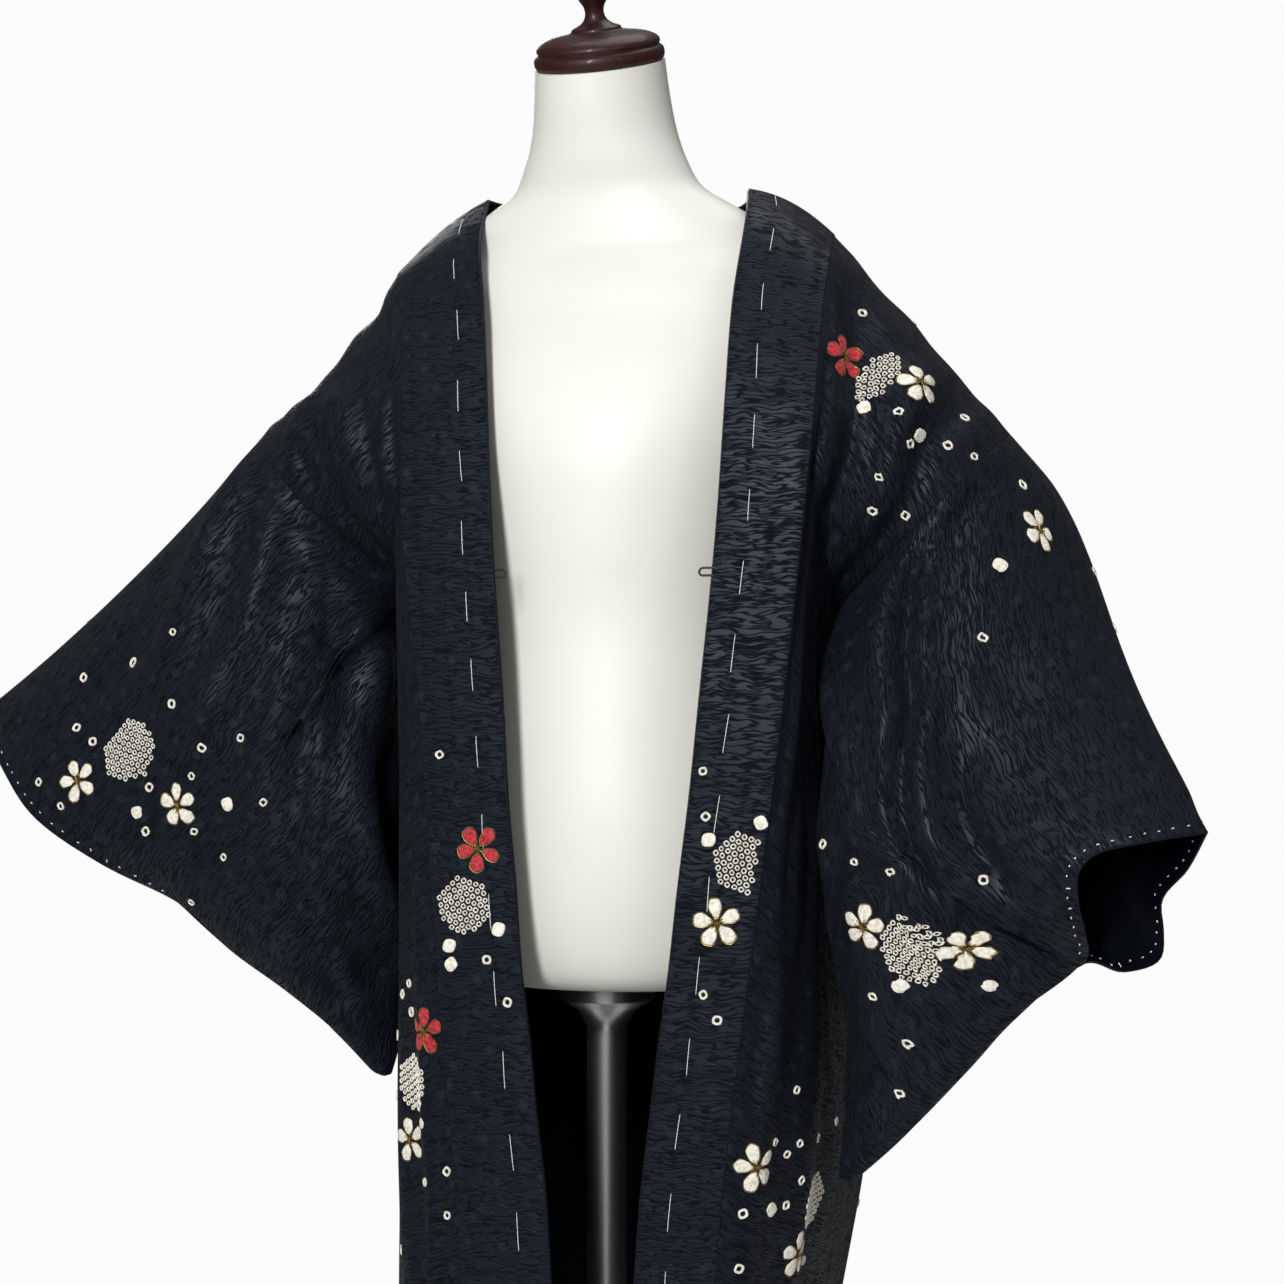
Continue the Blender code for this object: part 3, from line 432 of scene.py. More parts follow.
def back_bend(ridge_drop, neck_drop):
    """The back's bends, the same on both sides but for how far they hang near the shoulder."""
    return table(RowBend, (0.00, 0.50, 0.50, ridge_drop), (0.12, 0.55, 0.20, neck_drop),
                 (0.24, 0.95, 0.08, 0.0), (0.42, 1.00, 0.08, 0.0), (1.00, 1.00, 0.08, 0.0))


BACK_BEND = {"left": back_bend(0.0, 0.0), "right": back_bend(0.026, 0.010)}

# The armhole runs round over the shoulder ridge and comes to a point at the underarm, its
# front and back halves swelling forwards and backwards.
Armhole = namedtuple("Armhole", "top underarm front_swell back_swell")
ARMHOLE = {
    "left": Armhole((0.281, 0.020, 1.180), (0.168, -0.005, 1.062),
                    (0.000, -0.062, -0.012), (0.000, 0.080, -0.008)),
    "right": Armhole((0.260, 0.020, 1.205), (0.152, 0.000, 1.083),
                     (0.000, -0.062, -0.012), (0.000, 0.080, -0.008)),
}

# The middle of the side gusset, from the underarm (share ARM_SHARE) to the hem.
SideLine = namedtuple("SideLine", "share x y z")
SIDE_LINE = {
    "left": table(SideLine,
        (0.24, 0.168, -0.005, 1.062),
        (0.32, 0.165, 0.012, 0.990),
        (0.50, 0.163, 0.030, 0.840),
        (0.70, 0.166, 0.040, 0.680),
        (0.80, 0.151, 0.040, 0.600),
        (1.00, 0.122, 0.040, 0.446),
    ),
    "right": table(SideLine,
        (0.24, 0.152, 0.000, 1.083),
        (0.32, 0.156, 0.012, 1.010),
        (0.50, 0.158, 0.030, 0.855),
        (0.70, 0.158, 0.035, 0.685),
        (0.80, 0.158, 0.038, 0.605),
        (1.00, 0.158, 0.040, 0.446),
    ),
}

# Creases are soft ridges (or troughs, with a height below 0) from one place on a piece to
# another: on a panel its share of the length and its share across, counted from the collar.
# A crease bows to one side by this much, in metres. The first rows are the solids' folds.
Crease = namedtuple("Crease", "from_down from_across to_down to_across width height bow",
                    defaults=(0.0,))
PANEL_CREASES = {
    "left": table(Crease,
        (-0.04, 0.12, -0.24, 0.58, 0.050, -0.008),
        (-0.06, 0.50, -0.19, 0.80, 0.050, 0.008),
        (0.10, 0.75, 0.60, 0.60, 0.060, 0.007),
        (0.30, 0.35, 1.00, 0.30, 0.060, 0.006),
        (-0.08, 0.30, -0.22, 0.66, 0.022, 0.004, 0.006),
        (-0.10, 0.72, -0.18, 0.97, 0.030, -0.005),
        (-0.14, 0.04, -0.25, 0.16, 0.024, -0.005),
        (-0.30, 0.22, -0.95, 0.30, 0.030, 0.003, 0.010),
        (-0.38, 0.55, -1.00, 0.60, 0.035, 0.004, -0.008),
        (0.06, 0.30, 0.30, 0.55, 0.030, 0.004, 0.010),
        (0.34, 0.80, 0.98, 0.84, 0.032, 0.004, 0.008),
        (0.45, 0.12, 1.00, 0.10, 0.030, -0.003, -0.006),
        (0.50, 0.50, 1.00, 0.55, 0.026, 0.003, 0.008),
    ),
    "right": table(Crease,
        (-0.04, 0.14, -0.30, 0.25, 0.045, -0.008),
        (-0.09, 0.50, -0.24, 0.68, 0.050, 0.008),
        (-0.40, 0.45, -1.00, 0.40, 0.050, 0.005),
        (0.10, 0.75, 0.60, 0.55, 0.060, 0.007),
        (0.30, 0.35, 1.00, 0.35, 0.060, 0.006),
        (-0.06, 0.62, -0.13, 0.96, 0.030, 0.006),
        (-0.10, 0.80, -0.19, 0.99, 0.018, -0.004),
        (-0.11, 0.10, -0.22, 0.42, 0.020, 0.004),
        (-0.58, 0.02, -0.92, 0.24, 0.016, 0.004, 0.004),
        (-0.36, 0.18, -0.98, 0.22, 0.022, 0.003, 0.008),
        (0.08, 0.25, 0.34, 0.50, 0.030, 0.004, -0.010),
        (0.36, 0.82, 0.97, 0.80, 0.032, 0.004, -0.008),
        (0.42, 0.14, 1.00, 0.12, 0.030, -0.003, 0.006),
        (0.52, 0.58, 1.00, 0.60, 0.026, 0.003, -0.008),
    ),
}
CREASE_PAST = 0.1       # share of its length that a crease runs on past either end
CREASE_FADE = 0.3       # share of its length over which it rises there
SEAM_CALM = 0.050       # a crease fades out over this distance from a seam
SLACK = 0.0009          # how far the silk wanders by itself between the creases
SLACK_WAVES = 7
SLACK_ACROSS = (0.045, 0.110)   # the shortest and longest of these waves across the cloth
SLACK_DOWN = (0.160, 0.450)     # and down it

# The silk: a satin ground with wavy ridges across it and small flower heads that catch the light the
# other way, all woven in one colour.
# Its base colour is painted darker in the grooves between the ridges as their shade, and lighter on the
# flower heads as their sheen.
# The groove colour is painted shade and the flower colour a painted sheen; the ridge colour is the
# silk's own black.
SILK_GROOVE_SHADE = "020307"
SILK_RIDGE = "171B22"
SILK_FLOWER_SHEEN = "1B2027"
SILK_BLOOM = "C6CFE0"
SILK_IOR = 1.31         # lower than solid silk: the figured face is half air
SILK_INSIDE = "05080F"
RIDGE_SPACING = 0.0029  # size of the weave's figure down the cloth
RIDGE_LENGTH = 0.0180   # and across it
RIDGE_WANDER = 0.022    # length over which a ridge wanders
RIDGE_SLANT = 0.009     # how far up or down the cloth it wanders
GROOVE_SHARE = 0.080    # a groove lies where the figure's noise is this near its middle level
FLOWER_SPACING = 0.026
FLOWER_RADIUS = 0.0042
FLOWER_NOTCH = 0.58     # the radius between two petals, as a share of the petals' own
FLOWER_EDGE = 0.0006    # width over which a flower head fades into the ground
WOVEN_PETALS = 5.0
PRESSED_PATCH = 1 / 38  # 2.6 cm: size of the patches that pressing left brighter or duller
THREAD_SPACING = 0.000625       # the silk's threads, drawn coarser than they are
THREAD_SHARE = 0.12     # their height, as a share of the ridges'
WAVE_SPACING = math.pi / 5      # of the lines that a wave texture draws at scale 1
TWILL_SPACING = WAVE_SPACING / 90       # 7 mm: the wrong side's twill, drawn coarser than it is


def ease(t):
    """0 up to t = 0, 1 from t = 1, smooth between."""
    t = np.clip(t, 0.0, 1.0)
    return t * t * (3 - 2 * t)


def sided(points, side):
    """Points given outwards from the centre line, put on their side of the body."""
    out = 1.0 if side == "left" else -1.0
    return np.asarray(points) * np.array((out, 1.0, 1.0))


def collar_edge(side, share, edge):
    """The collar's free or seam edge: share -1 hem, 0 shoulder ridge, NECK_SHARE centre back."""
    first = 0 if edge == "free" else 3
    if share <= 0:
        return read(FRONT_EDGE[side], -share)[first:first + 3]
    ridge = read(FRONT_EDGE[side], 0.0)[first:first + 3]
    back = np.array(NECK_BACK_FREE if edge == "free" else NECK_BACK_SEAM)
    turn = math.pi / 2 * share / NECK_SHARE
    return np.array((
        ridge[0] * math.cos(turn),
        ridge[1] + (back[1] - ridge[1]) * math.sin(turn),
        ridge[2] + (back[2] - ridge[2]) * (1 - math.cos(turn)),
    ))


def armhole_point(side, share):
    """On the armhole: share -1 front underarm, 0 shoulder ridge, 1 back underarm."""
    hole = ARMHOLE[side]
    top, underarm = np.array(hole.top), np.array(hole.underarm)
    down = 1 - math.cos(math.pi / 2 * abs(share))
    swell = np.array(hole.front_swell if share < 0 else hole.back_swell)
    half_gusset = np.array((0.0, math.copysign(GUSSET_TOP / 2, share), 0.0))
    return top + (underarm - top) * down + swell * math.sin(math.pi * abs(share)) + half_gusset * down


def side_point(side, share, across):
    """On the gusset at the side: across -1 its front seam, 1 its back seam."""
    x, y, z = read(SIDE_LINE[side], share)
    below = (share - ARM_SHARE) / (1 - ARM_SHARE)
    half = (GUSSET_TOP + (GUSSET_HEM - GUSSET_TOP) * below) / 2
    return np.array((x, y + across * half, z))


def bow_row(inner, bend, outer, across):
    """Points on a bowed row between two ends, at these shares across."""
    a = across[:, None]
    return (1 - a) ** 2 * inner + 2 * a * (1 - a) * bend + a**2 * outer


def panel_row(side, share, across):
    """A row of a body panel: share -1 front hem, 0 ridge, 1 back hem; across 0 inner, 1 outer."""
    down = abs(share)
    front = share <= 0
    if front or share <= NECK_SHARE:
        inner = collar_edge(side, share, "seam")
    else:
        y, z = read(CENTRE_BACK, share)
        inner = np.array((0.0, y, z))
    if down <= ARM_SHARE:
        outer = armhole_point(side, share / ARM_SHARE)
    else:
        outer = side_point(side, down, -1 if front else 1)
    bend_across, bend_back, drop = read(FRONT_BEND[side] if front else BACK_BEND[side], down)
    bend = np.array((
        inner[0] + bend_across * (outer[0] - inner[0]),
        inner[1] + bend_back * (outer[1] - inner[1]),
        (inner[2] + outer[2]) / 2 - drop,
    ))
    return bow_row(inner, bend, outer, across)


def edged_stations(count):
    """Shares from 0 to 1, with one more station close to either end where the edge rolls."""
    inside = np.linspace(0.0, 1.0, count + 1)[1:-1]
    return np.concatenate(([0.0, EDGE_ROLL], inside, [1.0 - EDGE_ROLL, 1.0]))


def crease_lift(creases, down, across, down_size, across_size):
    """How far the creases lift the cloth at these places (arrays of shares)."""
    lift = np.zeros_like(down)
    for crease in creases:
        start = np.array((crease.from_down * down_size, crease.from_across * across_size))
        end = np.array((crease.to_down * down_size, crease.to_across * across_size))
        length = np.linalg.norm(end - start)
        run = (end - start) / length
        here_down, here_across = down * down_size - start[0], across * across_size - start[1]
        t = (here_down * run[0] + here_across * run[1]) / length
        off = here_across * run[0] - here_down * run[1] - crease.bow * 4 * t * (1 - t)
        beside = np.minimum(np.abs(off) / crease.width, 1.0)
        fade = (ease((t + CREASE_PAST) / CREASE_FADE)
                * ease((1 + CREASE_PAST - t) / CREASE_FADE))
        lift += crease.height * fade * (1 + np.cos(math.pi * beside)) / 2
    return lift


def slack_lift(down, across, seed):
    """Slow seeded waves over a piece (places in metres): long down the cloth, short across it."""
    wander = random.Random(seed)
    lift = np.zeros_like(down)
    for _ in range(SLACK_WAVES):
        across_length = wander.uniform(*SLACK_ACROSS)
        down_length = wander.uniform(*SLACK_DOWN) * wander.choice((-1, 1))
        phase = wander.uniform(0, 2 * math.pi)
        lift += np.sin(2 * math.pi * (across / across_length + down / down_length) + phase)
    return lift * SLACK / math.sqrt(SLACK_WAVES / 2)


class Cloth:
    """A piece of cloth as rows of points on its middle surface.

    downs holds each row's place down the flat cut. welds are pairs of grid places, as
    (row, column), that are one point of the cloth.
    """

    def __init__(self, points, downs, turned_over, welds=()):
        self.points = np.array(points, float)
        self.downs = np.array(downs, float)
        rows, columns = self.points.shape[:2]
        self.last_column = columns - 1
        number = np.arange(rows * columns).reshape(rows, columns)
        quads = [number[:-1, :-1], number[:-1, 1:], number[1:, 1:], number[1:, :-1]]
        if turned_over:
            quads.reverse()
        self.quads = np.stack([corner.ravel() for corner in quads], axis=1)
        self.ids = number.ravel().copy()
        for kept, lost in welds:
            self.ids[number[lost]] = number[kept]
        self.thick = CLOTH_THICK
        self.find_normals()

    def find_normals(self):
        flat = self.points.reshape(-1, 3)
        corner = flat[self.quads]
        facing = np.cross(corner[:, 2] - corner[:, 0], corner[:, 3] - corner[:, 1])
        normals = np.zeros_like(flat)
        for k in range(4):
            np.add.at(normals, self.ids[self.quads[:, k]], facing)
        normals = normals[self.ids]
        normals /= np.linalg.norm(normals, axis=1)[:, None]
        self.normals = normals.reshape(self.points.shape)

    def lift(self, amount):
        """Move the surface out along its normals, then measure each row across."""
        self.points += self.normals * amount[:, :, None]
        self.find_normals()
        steps = np.linalg.norm(np.diff(self.points, axis=1), axis=2)
        self.across = np.zeros(self.points.shape[:2])
        self.across[:, 1:] = np.cumsum(steps, axis=1)
        self.down = np.repeat(self.downs[:, None], self.across.shape[1], axis=1)

    def measure_down(self):
        """Measure each column down from the fold, on a piece that is longer at one edge."""
        steps = np.linalg.norm(np.diff(self.points, axis=0), axis=2)
        self.down[1:] = self.down[0] + np.cumsum(steps, axis=0)
        self.down -= self.down[np.abs(self.downs).argmin()].copy()

    def place(self, across, down, height, inside=False):
        """Where places in the flat cut lie on the body, this high above the cloth's face."""
        across, down, height = np.broadcast_arrays(*np.atleast_1d(across, down, height))
        rows, columns = self.across.shape
        row = np.clip(np.interp(down, self.downs, np.arange(rows)), 0, rows - 1.001)
        r = row.astype(int)
        column = np.empty(len(r))
        for one in np.unique(r):
            here = r == one
            column[here] = np.interp(across[here], self.across[one], np.arange(columns))
        column = np.minimum(column, columns - 1.001)
        c = column.astype(int)
        below, beside = (row - r)[:, None], (column - c)[:, None]
        corners = ((r, c, (1 - below) * (1 - beside)), (r, c + 1, (1 - below) * beside),
                   (r + 1, c, below * (1 - beside)), (r + 1, c + 1, below * beside))
        points = sum(weight * self.points[i, k] for i, k, weight in corners)
        normals = sum(weight * self.normals[i, k] for i, k, weight in corners)
        above = (self.thick / 2 + height)[:, None]
        return points + normals * (-above if inside else above)

    def shell(self, name, *looks):
        """The cloth as a closed shell with rolled edges, the second material on its inside."""
        points, normals = self.points.reshape(-1, 3), self.normals.reshape(-1, 3)
        quads = self.ids[self.quads]
        runs = np.concatenate([quads[:, [k, (k + 1) % 4]] for k in range(4)])
        both = {tuple(run) for run in runs.tolist()}
        rim = [run for run in both if run[::-1] not in both]
        away = np.zeros_like(points)
        for a, b in rim:
            out = np.cross(points[b] - points[a], normals[a] + normals[b])
            away[a] += out
            away[b] += out
        rim_ids = sorted({index for run in rim for index in run})
        away[rim_ids] /= np.linalg.norm(away[rim_ids], axis=1)[:, None]
        count = len(points)
        middle = {index: 2 * count + i for i, index in enumerate(rim_ids)}
        rolled = points[rim_ids] + away[rim_ids] * self.thick * ROLLED_OUT
        places = np.vstack((points + normals * self.thick / 2, points - normals * self.thick / 2,
                            rolled))
        faces = quads.tolist() + (quads[:, ::-1] + count).tolist()
        for a, b in sorted(rim):
            faces.append([b, a, middle[a], middle[b]])
            faces.append([middle[b], middle[a], a + count, b + count])
        used = sorted({index for face in faces for index in face})
        renumber = {index: i for i, index in enumerate(used)}
        faces = [[renumber[index] for index in face] for face in faces]
        thing = add_mesh(name, places[used], faces, *looks, crisp=False)
        self.lay_out(thing.data, len(quads))
        return thing

    def lay_out(self, mesh, face_count):
        """The flat cut as a UV map in metres, and the second material on the inside faces."""
        flat = np.stack((self.across, self.down), axis=-1).reshape(-1, 2)
        outside = flat[self.quads]
        cut = np.zeros((len(mesh.loops), 2))
        cut[:4 * face_count] = outside.reshape(-1, 2)
        cut[4 * face_count:8 * face_count] = outside[:, ::-1].reshape(-1, 2)
        mesh.uv_layers.new(name="flat_cut").data.foreach_set("uv", cut.ravel())
        inside = np.zeros(len(mesh.polygons), int)
        inside[face_count:2 * face_count] = len(mesh.materials) - 1
        mesh.polygons.foreach_set("material_index", inside)


def sew(one, one_places, other, other_places):
    """Give the two edges of a seam, as lists of (row, column), the same facing."""
    for a, b in zip(one_places, other_places):
        facing = one.normals[a] + other.normals[b]
        facing /= np.linalg.norm(facing)
        one.normals[a] = facing
        other.normals[b] = facing


def body_panel(side):
    """Front and back in one length over the shoulder, from the front hem to the back hem."""
    across = edged_stations(PANEL_COLUMNS)
    shares = np.arange(-PANEL_ROWS, PANEL_ROWS + 1) / PANEL_ROWS
    points = [sided(panel_row(side, share, across), side) for share in shares]
    panel = Cloth(points, shares * PANEL_LENGTH, side == "right")
    down, across = np.meshgrid(shares, across, indexing="ij")
    width = PANEL_CUT[0]
    lift = crease_lift(PANEL_CREASES[side], down, across, PANEL_LENGTH, width)
    lift += slack_lift(down * PANEL_LENGTH, across * width, side)
    panel.lift(lift * ease(np.minimum(across, 1 - across) * width / SEAM_CALM))
    return panel


def wavy_ridges(look, cut):
    """Height of the woven ridges: 1 on a ridge, 0 in the narrow broken grooves between them."""
    bend = add_node(look, "TexNoise", {"Vector": cut, "Scale": 1 / RIDGE_WANDER, "Detail": 1.0})
    place = add_node(look, "SeparateXYZ", {"Vector": cut})
    slant = add_node(look, "Math", {0: bend, 1: RIDGE_SLANT, 2: place.outputs["Y"]},
                     operation="MULTIPLY_ADD")
    bent = add_node(look, "CombineXYZ", {"X": place.outputs["X"], "Y": slant})
    drawn = add_node(look, "Mapping", {"Vector": bent,
                                       "Scale": (1 / RIDGE_LENGTH, 1 / RIDGE_SPACING, 1)})
    cloud = add_node(look, "TexNoise", {"Vector": drawn, "Scale": 1.0, "Detail": 1.0})
    level = add_node(look, "Math", {0: cloud, 1: 0.5}, operation="SUBTRACT")
    away = add_node(look, "Math", {0: level}, operation="ABSOLUTE")
    return add_node(look, "MapRange", {"Value": away, "From Max": GROOVE_SHARE})


def flower_heads(look, cut):
    """1 inside the woven flower heads, 0 outside."""
    cells = add_node(look, "TexVoronoi", {"Vector": cut, "Scale": 1 / FLOWER_SPACING,
                                          "Randomness": 0.75}, voronoi_dimensions="2D")
    arm = add_node(look, "VectorMath", {0: cut, 1: cells.outputs["Position"]}, operation="SUBTRACT")
    parts = add_node(look, "SeparateXYZ", {"Vector": arm})
    angle = add_node(look, "Math", {0: parts.outputs["Y"], 1: parts.outputs["X"]}, operation="ARCTAN2")
    reach = add_node(look, "VectorMath", {0: arm}, operation="LENGTH")
    chance = add_node(look, "SeparateColor", {"Color": cells.outputs["Color"]})
    turn = add_node(look, "Math", {0: chance.outputs["Red"], 1: 2 * math.pi}, operation="MULTIPLY")
    petals = add_node(look, "Math", {0: angle, 1: WOVEN_PETALS, 2: turn}, operation="MULTIPLY_ADD")
    lobes = add_node(look, "Math", {0: petals}, operation="COSINE")
    edge = add_node(look, "MapRange", {
        "Value": lobes, "From Min": -1.0, "To Min": FLOWER_NOTCH * FLOWER_RADIUS,
        "To Max": FLOWER_RADIUS,
    })
    inside = add_node(look, "Math", {0: edge, 1: reach.outputs["Value"]}, operation="SUBTRACT")
    return add_node(look, "MapRange", {"Value": inside, "From Max": FLOWER_EDGE})


def figured_silk_satin():
    """Black figured silk satin, woven: dull grooves painted darker as their shade and dull flower heads
    painted lighter as their sheen, in a smoother, brighter ground.
    """
    look = start_look(bpy.data.materials.new("black_figured_silk_satin"))
    cut = add_node(look, "UVMap", uv_map="flat_cut")
    ridges = wavy_ridges(look, cut)
    flowers = flower_heads(look, cut)
    patch = add_node(look, "TexNoise", {"Vector": cut, "Scale": 1 / PRESSED_PATCH, "Detail": 3.0})
    light = add_node(look, "MapRange", {"Value": patch, "From Min": 0.3, "From Max": 0.7,
                                        "To Min": 0.80, "To Max": 1.0})
    raised = add_node(look, "Math", {0: ridges, 1: light}, operation="MULTIPLY")
    # painted shade: the grooves between the ridges are coloured darker than the ridges
    ground = two_colours(look, raised, 0.0, SILK_GROOVE_SHADE, 1.0, SILK_RIDGE)
    # painted sheen: the flower heads are coloured lighter than the ground they lie in
    colour = add_node(look, "MixRGB", {"Fac": flowers, "Color1": ground,
                                       "Color2": linear(SILK_FLOWER_SHEEN)})
    gloss = add_node(look, "MapRange", {"Value": raised, "To Min": 0.90, "To Max": 0.36})
    dull = add_node(look, "Math", {0: flowers, 1: 0.20}, operation="MULTIPLY")
    rough = add_node(look, "Math", {0: gloss, 1: dull}, operation="ADD")
    plain = add_node(look, "Math", {0: raised, 1: flowers}, operation="MAXIMUM")
    thread = add_node(look, "TexNoise", {"Vector": cut, "Scale": 1 / THREAD_SPACING, "Detail": 1.0})
    relief = add_node(look, "Math", {0: thread, 1: THREAD_SHARE, 2: plain}, operation="MULTIPLY_ADD")
    return close_material(look, {
        "Base Color": colour, "Roughness": rough, "IOR": SILK_IOR,
        "Specular Tint": linear(SILK_BLOOM), "Sheen Weight": 0.02, "Sheen Roughness": 0.35,
        "Sheen Tint": linear(SILK_BLOOM),
        "Normal": add_node(look, "Bump", {"Height": relief, "Strength": 0.75, "Distance": 0.0008}),
    })


def plain_silk_inside():
    """The wrong side of the silk: the same black, matt and nearly plain, in a faint twill."""
    look = start_look(bpy.data.materials.new("black_silk_wrong_side"))
    cut = add_node(look, "UVMap", uv_map="flat_cut")
    twill = add_node(look, "TexWave", {"Vector": cut, "Scale": WAVE_SPACING / TWILL_SPACING,
                                       "Distortion": 1.0}, bands_direction="DIAGONAL")
    return close_material(look, {
        "Base Color": linear(SILK_INSIDE), "Roughness": 0.70, "Specular IOR Level": 0.04,
        "Normal": add_node(look, "Bump", {"Height": twill.outputs["Fac"], "Strength": 0.10,
                                          "Distance": 0.0002}),
    })


silk = figured_silk_satin()
silk_inside = plain_silk_inside()
panels = {side: body_panel(side) for side in SIDES}
centre_back = [(row, 0) for row in range(PANEL_ROWS + NECK_ROWS, 2 * PANEL_ROWS + 1)]
sew(panels["left"], centre_back, panels["right"], centre_back)


# ======================================================================== collar (eri)
# The collar is one long straight band of the same silk, folded double to 6.5 cm, that runs
# from hem to hem round the back of the neck and is sewn over the panels' edges.

COLLAR_THICK = 0.003
COLLAR_COLUMNS = 14
COLLAR_CROWN = {"left": 0.005, "right": 0.003}  # how far the collar stands up on the shoulder
CROWN_REACH = 0.07      # share of the length over which it lies down again
COLLAR_FULLNESS = 0.0009        # the folded band is a little fuller in its middle
COLLAR_WAVE = 0.0010    # its free edge waves a little
COLLAR_WAVE_LENGTH = 0.135
COLLAR_DRIFT = 2.2      # the waves come this much early or late, in radians,
COLLAR_DRIFT_RATE = 9.0         # which changes at this rate along the band, in radians a metre


def collar_row(side, share, across):
    """A row of the band: across 0 its free edge, 1 its seam."""
    free = collar_edge(side, share, "free")
    seam = collar_edge(side, share, "seam")
    crown = COLLAR_CROWN[side] * ease(1 - abs(share) / CROWN_REACH)
    row = free + (seam - free) * across[:, None]
    row[:, 2] += crown * 4 * across * (1 - across)
    return row


def collar_band():
    """The whole band, from the right hem round the neck to the left hem."""
    across = edged_stations(COLLAR_COLUMNS)
    half = np.arange(-PANEL_ROWS, NECK_ROWS + 1) / PANEL_ROWS
    stations = [("right", share) for share in half] + [("left", share) for share in half[-2::-1]]
    points = [sided(collar_row(side, share, across), side) for side, share in stations]
    downs = (np.arange(len(stations)) - len(half) + 1) / PANEL_ROWS * PANEL_LENGTH
    band = Cloth(points, downs, True)
    band.thick = COLLAR_THICK
    along, across = np.meshgrid(downs, across, indexing="ij")
    drift = COLLAR_DRIFT * np.sin(along * COLLAR_DRIFT_RATE)
    wave = np.sin(2 * math.pi * along / COLLAR_WAVE_LENGTH + drift)
    band.lift(COLLAR_FULLNESS * np.sin(math.pi * across) + COLLAR_WAVE * wave * (1 - across) ** 2)
    return band


def declare_cloth(piece, node):
    """The draped silk piece stands for its solid, as any other piece does."""
    stand_for(piece, node)


collar = collar_band()
for side, panel in panels.items():
    neckline = range(PANEL_ROWS + NECK_ROWS + 1)
    last_row = len(collar.downs) - 1
    collar_rows = neckline if side == "right" else [last_row - row for row in neckline]
    collar_places = [(row, collar.last_column) for row in collar_rows]
    sew(panel, [(row, 0) for row in neckline], collar, collar_places)
declare_cloth(collar.shell("eri", silk), "eri_collar")


# ======================================================================== side gussets (machi)
# A narrow strip of the same silk joins the front and the back of each side under the arm. It
# tapers upwards and is sewn to both panels from the underarm down to the hem.

GUSSET_COLUMNS = 10


def side_gusset(side):
    across = edged_stations(GUSSET_COLUMNS)
    shares = np.arange(ARM_ROWS, PANEL_ROWS + 1) / PANEL_ROWS
    rows = []
    for share in shares:
        front, back = side_point(side, share, -1), side_point(side, share, 1)
        rows.append(sided(front + (back - front) * across[:, None], side))
    gusset = Cloth(rows, shares * PANEL_LENGTH, side == "left")
    gusset.lift(np.zeros((len(shares), len(across))))
    return gusset


for side in SIDES:
    gusset, panel = side_gusset(side), panels[side]
    rows = range(len(gusset.downs))
    for layer, column in ((-1, 0), (1, gusset.last_column)):
        panel_places = [(PANEL_ROWS + layer * (ARM_ROWS + row), panel.last_column) for row in rows]
        sew(panel, panel_places, gusset, [(row, column) for row in rows])
    machi = gusset.shell(f"machi_{side}", silk, silk_inside)
    declare_cloth(machi, f"machi_gusset_{side}")


# ======================================================================== sleeves (sode)
# Each sleeve is one length of the silk folded over the top, sewn to the panel round the
# armhole and closed along the bottom and the lower half of its outer edge. The upper half
# of that edge is the open cuff, and the inner edge hangs free below the armhole.

SLEEVE_WIDTH = 0.33
SLEEVE_DROP = 0.44
SLEEVE_CORNER = 0.020   # radius of the sleeve's rounded lower corner
SLEEVE_COLUMNS = 70
SLEEVE_LOW_ROWS = 50    # rows from the cuff's closed end down to the sleeve's bottom
LOW_ROW_SPREAD = 1.4    # above 1, these rows lie closer together towards the bottom
ELBOW = {"left": 0.300, "right": -0.050}        # how strongly the top fold stands out near the armhole
ELBOW_END = 0.42        # share of the width where it stops standing out
CLOSED_APART = 0.013    # how far the layers stand apart right beside a closed edge
FOLD_ROUNDING = 0.10    # share of the way to the cuff's end in which this starts at the top fold
TOP_ROUNDING = 0.25     # and in which the sleeve's middle rounds over there
BOTTOM_ROUNDING = 0.12  # the same at the bottom fold
OPEN_EDGE = 0.12        # share of the sleeve's width in which this fades towards an open edge
CUFF_ROUNDING = 0.10    # share of the sleeve's width in which its closed outer edge rounds over
CUFF_CLOSING = 0.25     # share of the way to the cuff's end in which its lips come together

# Down from the top fold (0) past the cuff's closed end (1) to the bottom fold (2): the open
# inner edge below the armhole, the surface half-way along the sleeve, and the outer edge.
FreeEdge = namedtuple("FreeEdge", "down x y z")
FREE_EDGE = {
    "left": table(FreeEdge,
        (1.0, 0.184, 0.004, 1.050),
        (1.5, 0.188, 0.050, 0.962),
        (2.0, 0.184, 0.115, 0.868),
    ),
    "right": table(FreeEdge,
        (1.0, 0.166, 0.008, 1.074),
        (1.5, 0.178, 0.070, 0.985),
        (2.0, 0.172, 0.150, 0.885),
    ),
}
Middle = namedtuple("Middle", "down x y z apart")
SLEEVE_MIDDLE = {
    "left": table(Middle,
        (0.0, 0.345, -0.032, 1.050, 0.080),
        (0.5, 0.286, -0.057, 0.982, 0.100),
        (1.0, 0.230, -0.070, 0.928, 0.080),
        (1.5, 0.200, -0.068, 0.865, 0.036),
        (2.0, 0.188, 0.020, 0.775, 0.012),
    ),
    "right": table(Middle,
        (0.0, 0.377, 0.010, 1.085, 0.070),
        (0.5, 0.318, -0.015, 1.018, 0.085),
        (1.0, 0.236, -0.030, 0.952, 0.060),
        (1.5, 0.192, -0.018, 0.882, 0.032),
        (2.0, 0.174, 0.072, 0.800, 0.012),
    ),
}
# Down to 1 the outer edge is the cuff's open mouth with a front and a back lip.
OuterEdge = namedtuple("OuterEdge", "down front_x front_y front_z back_x back_y back_z")


def closed(down, *place):
    """The outer edge where its two lips lie in one place."""
    return OuterEdge(down, *place, *place)


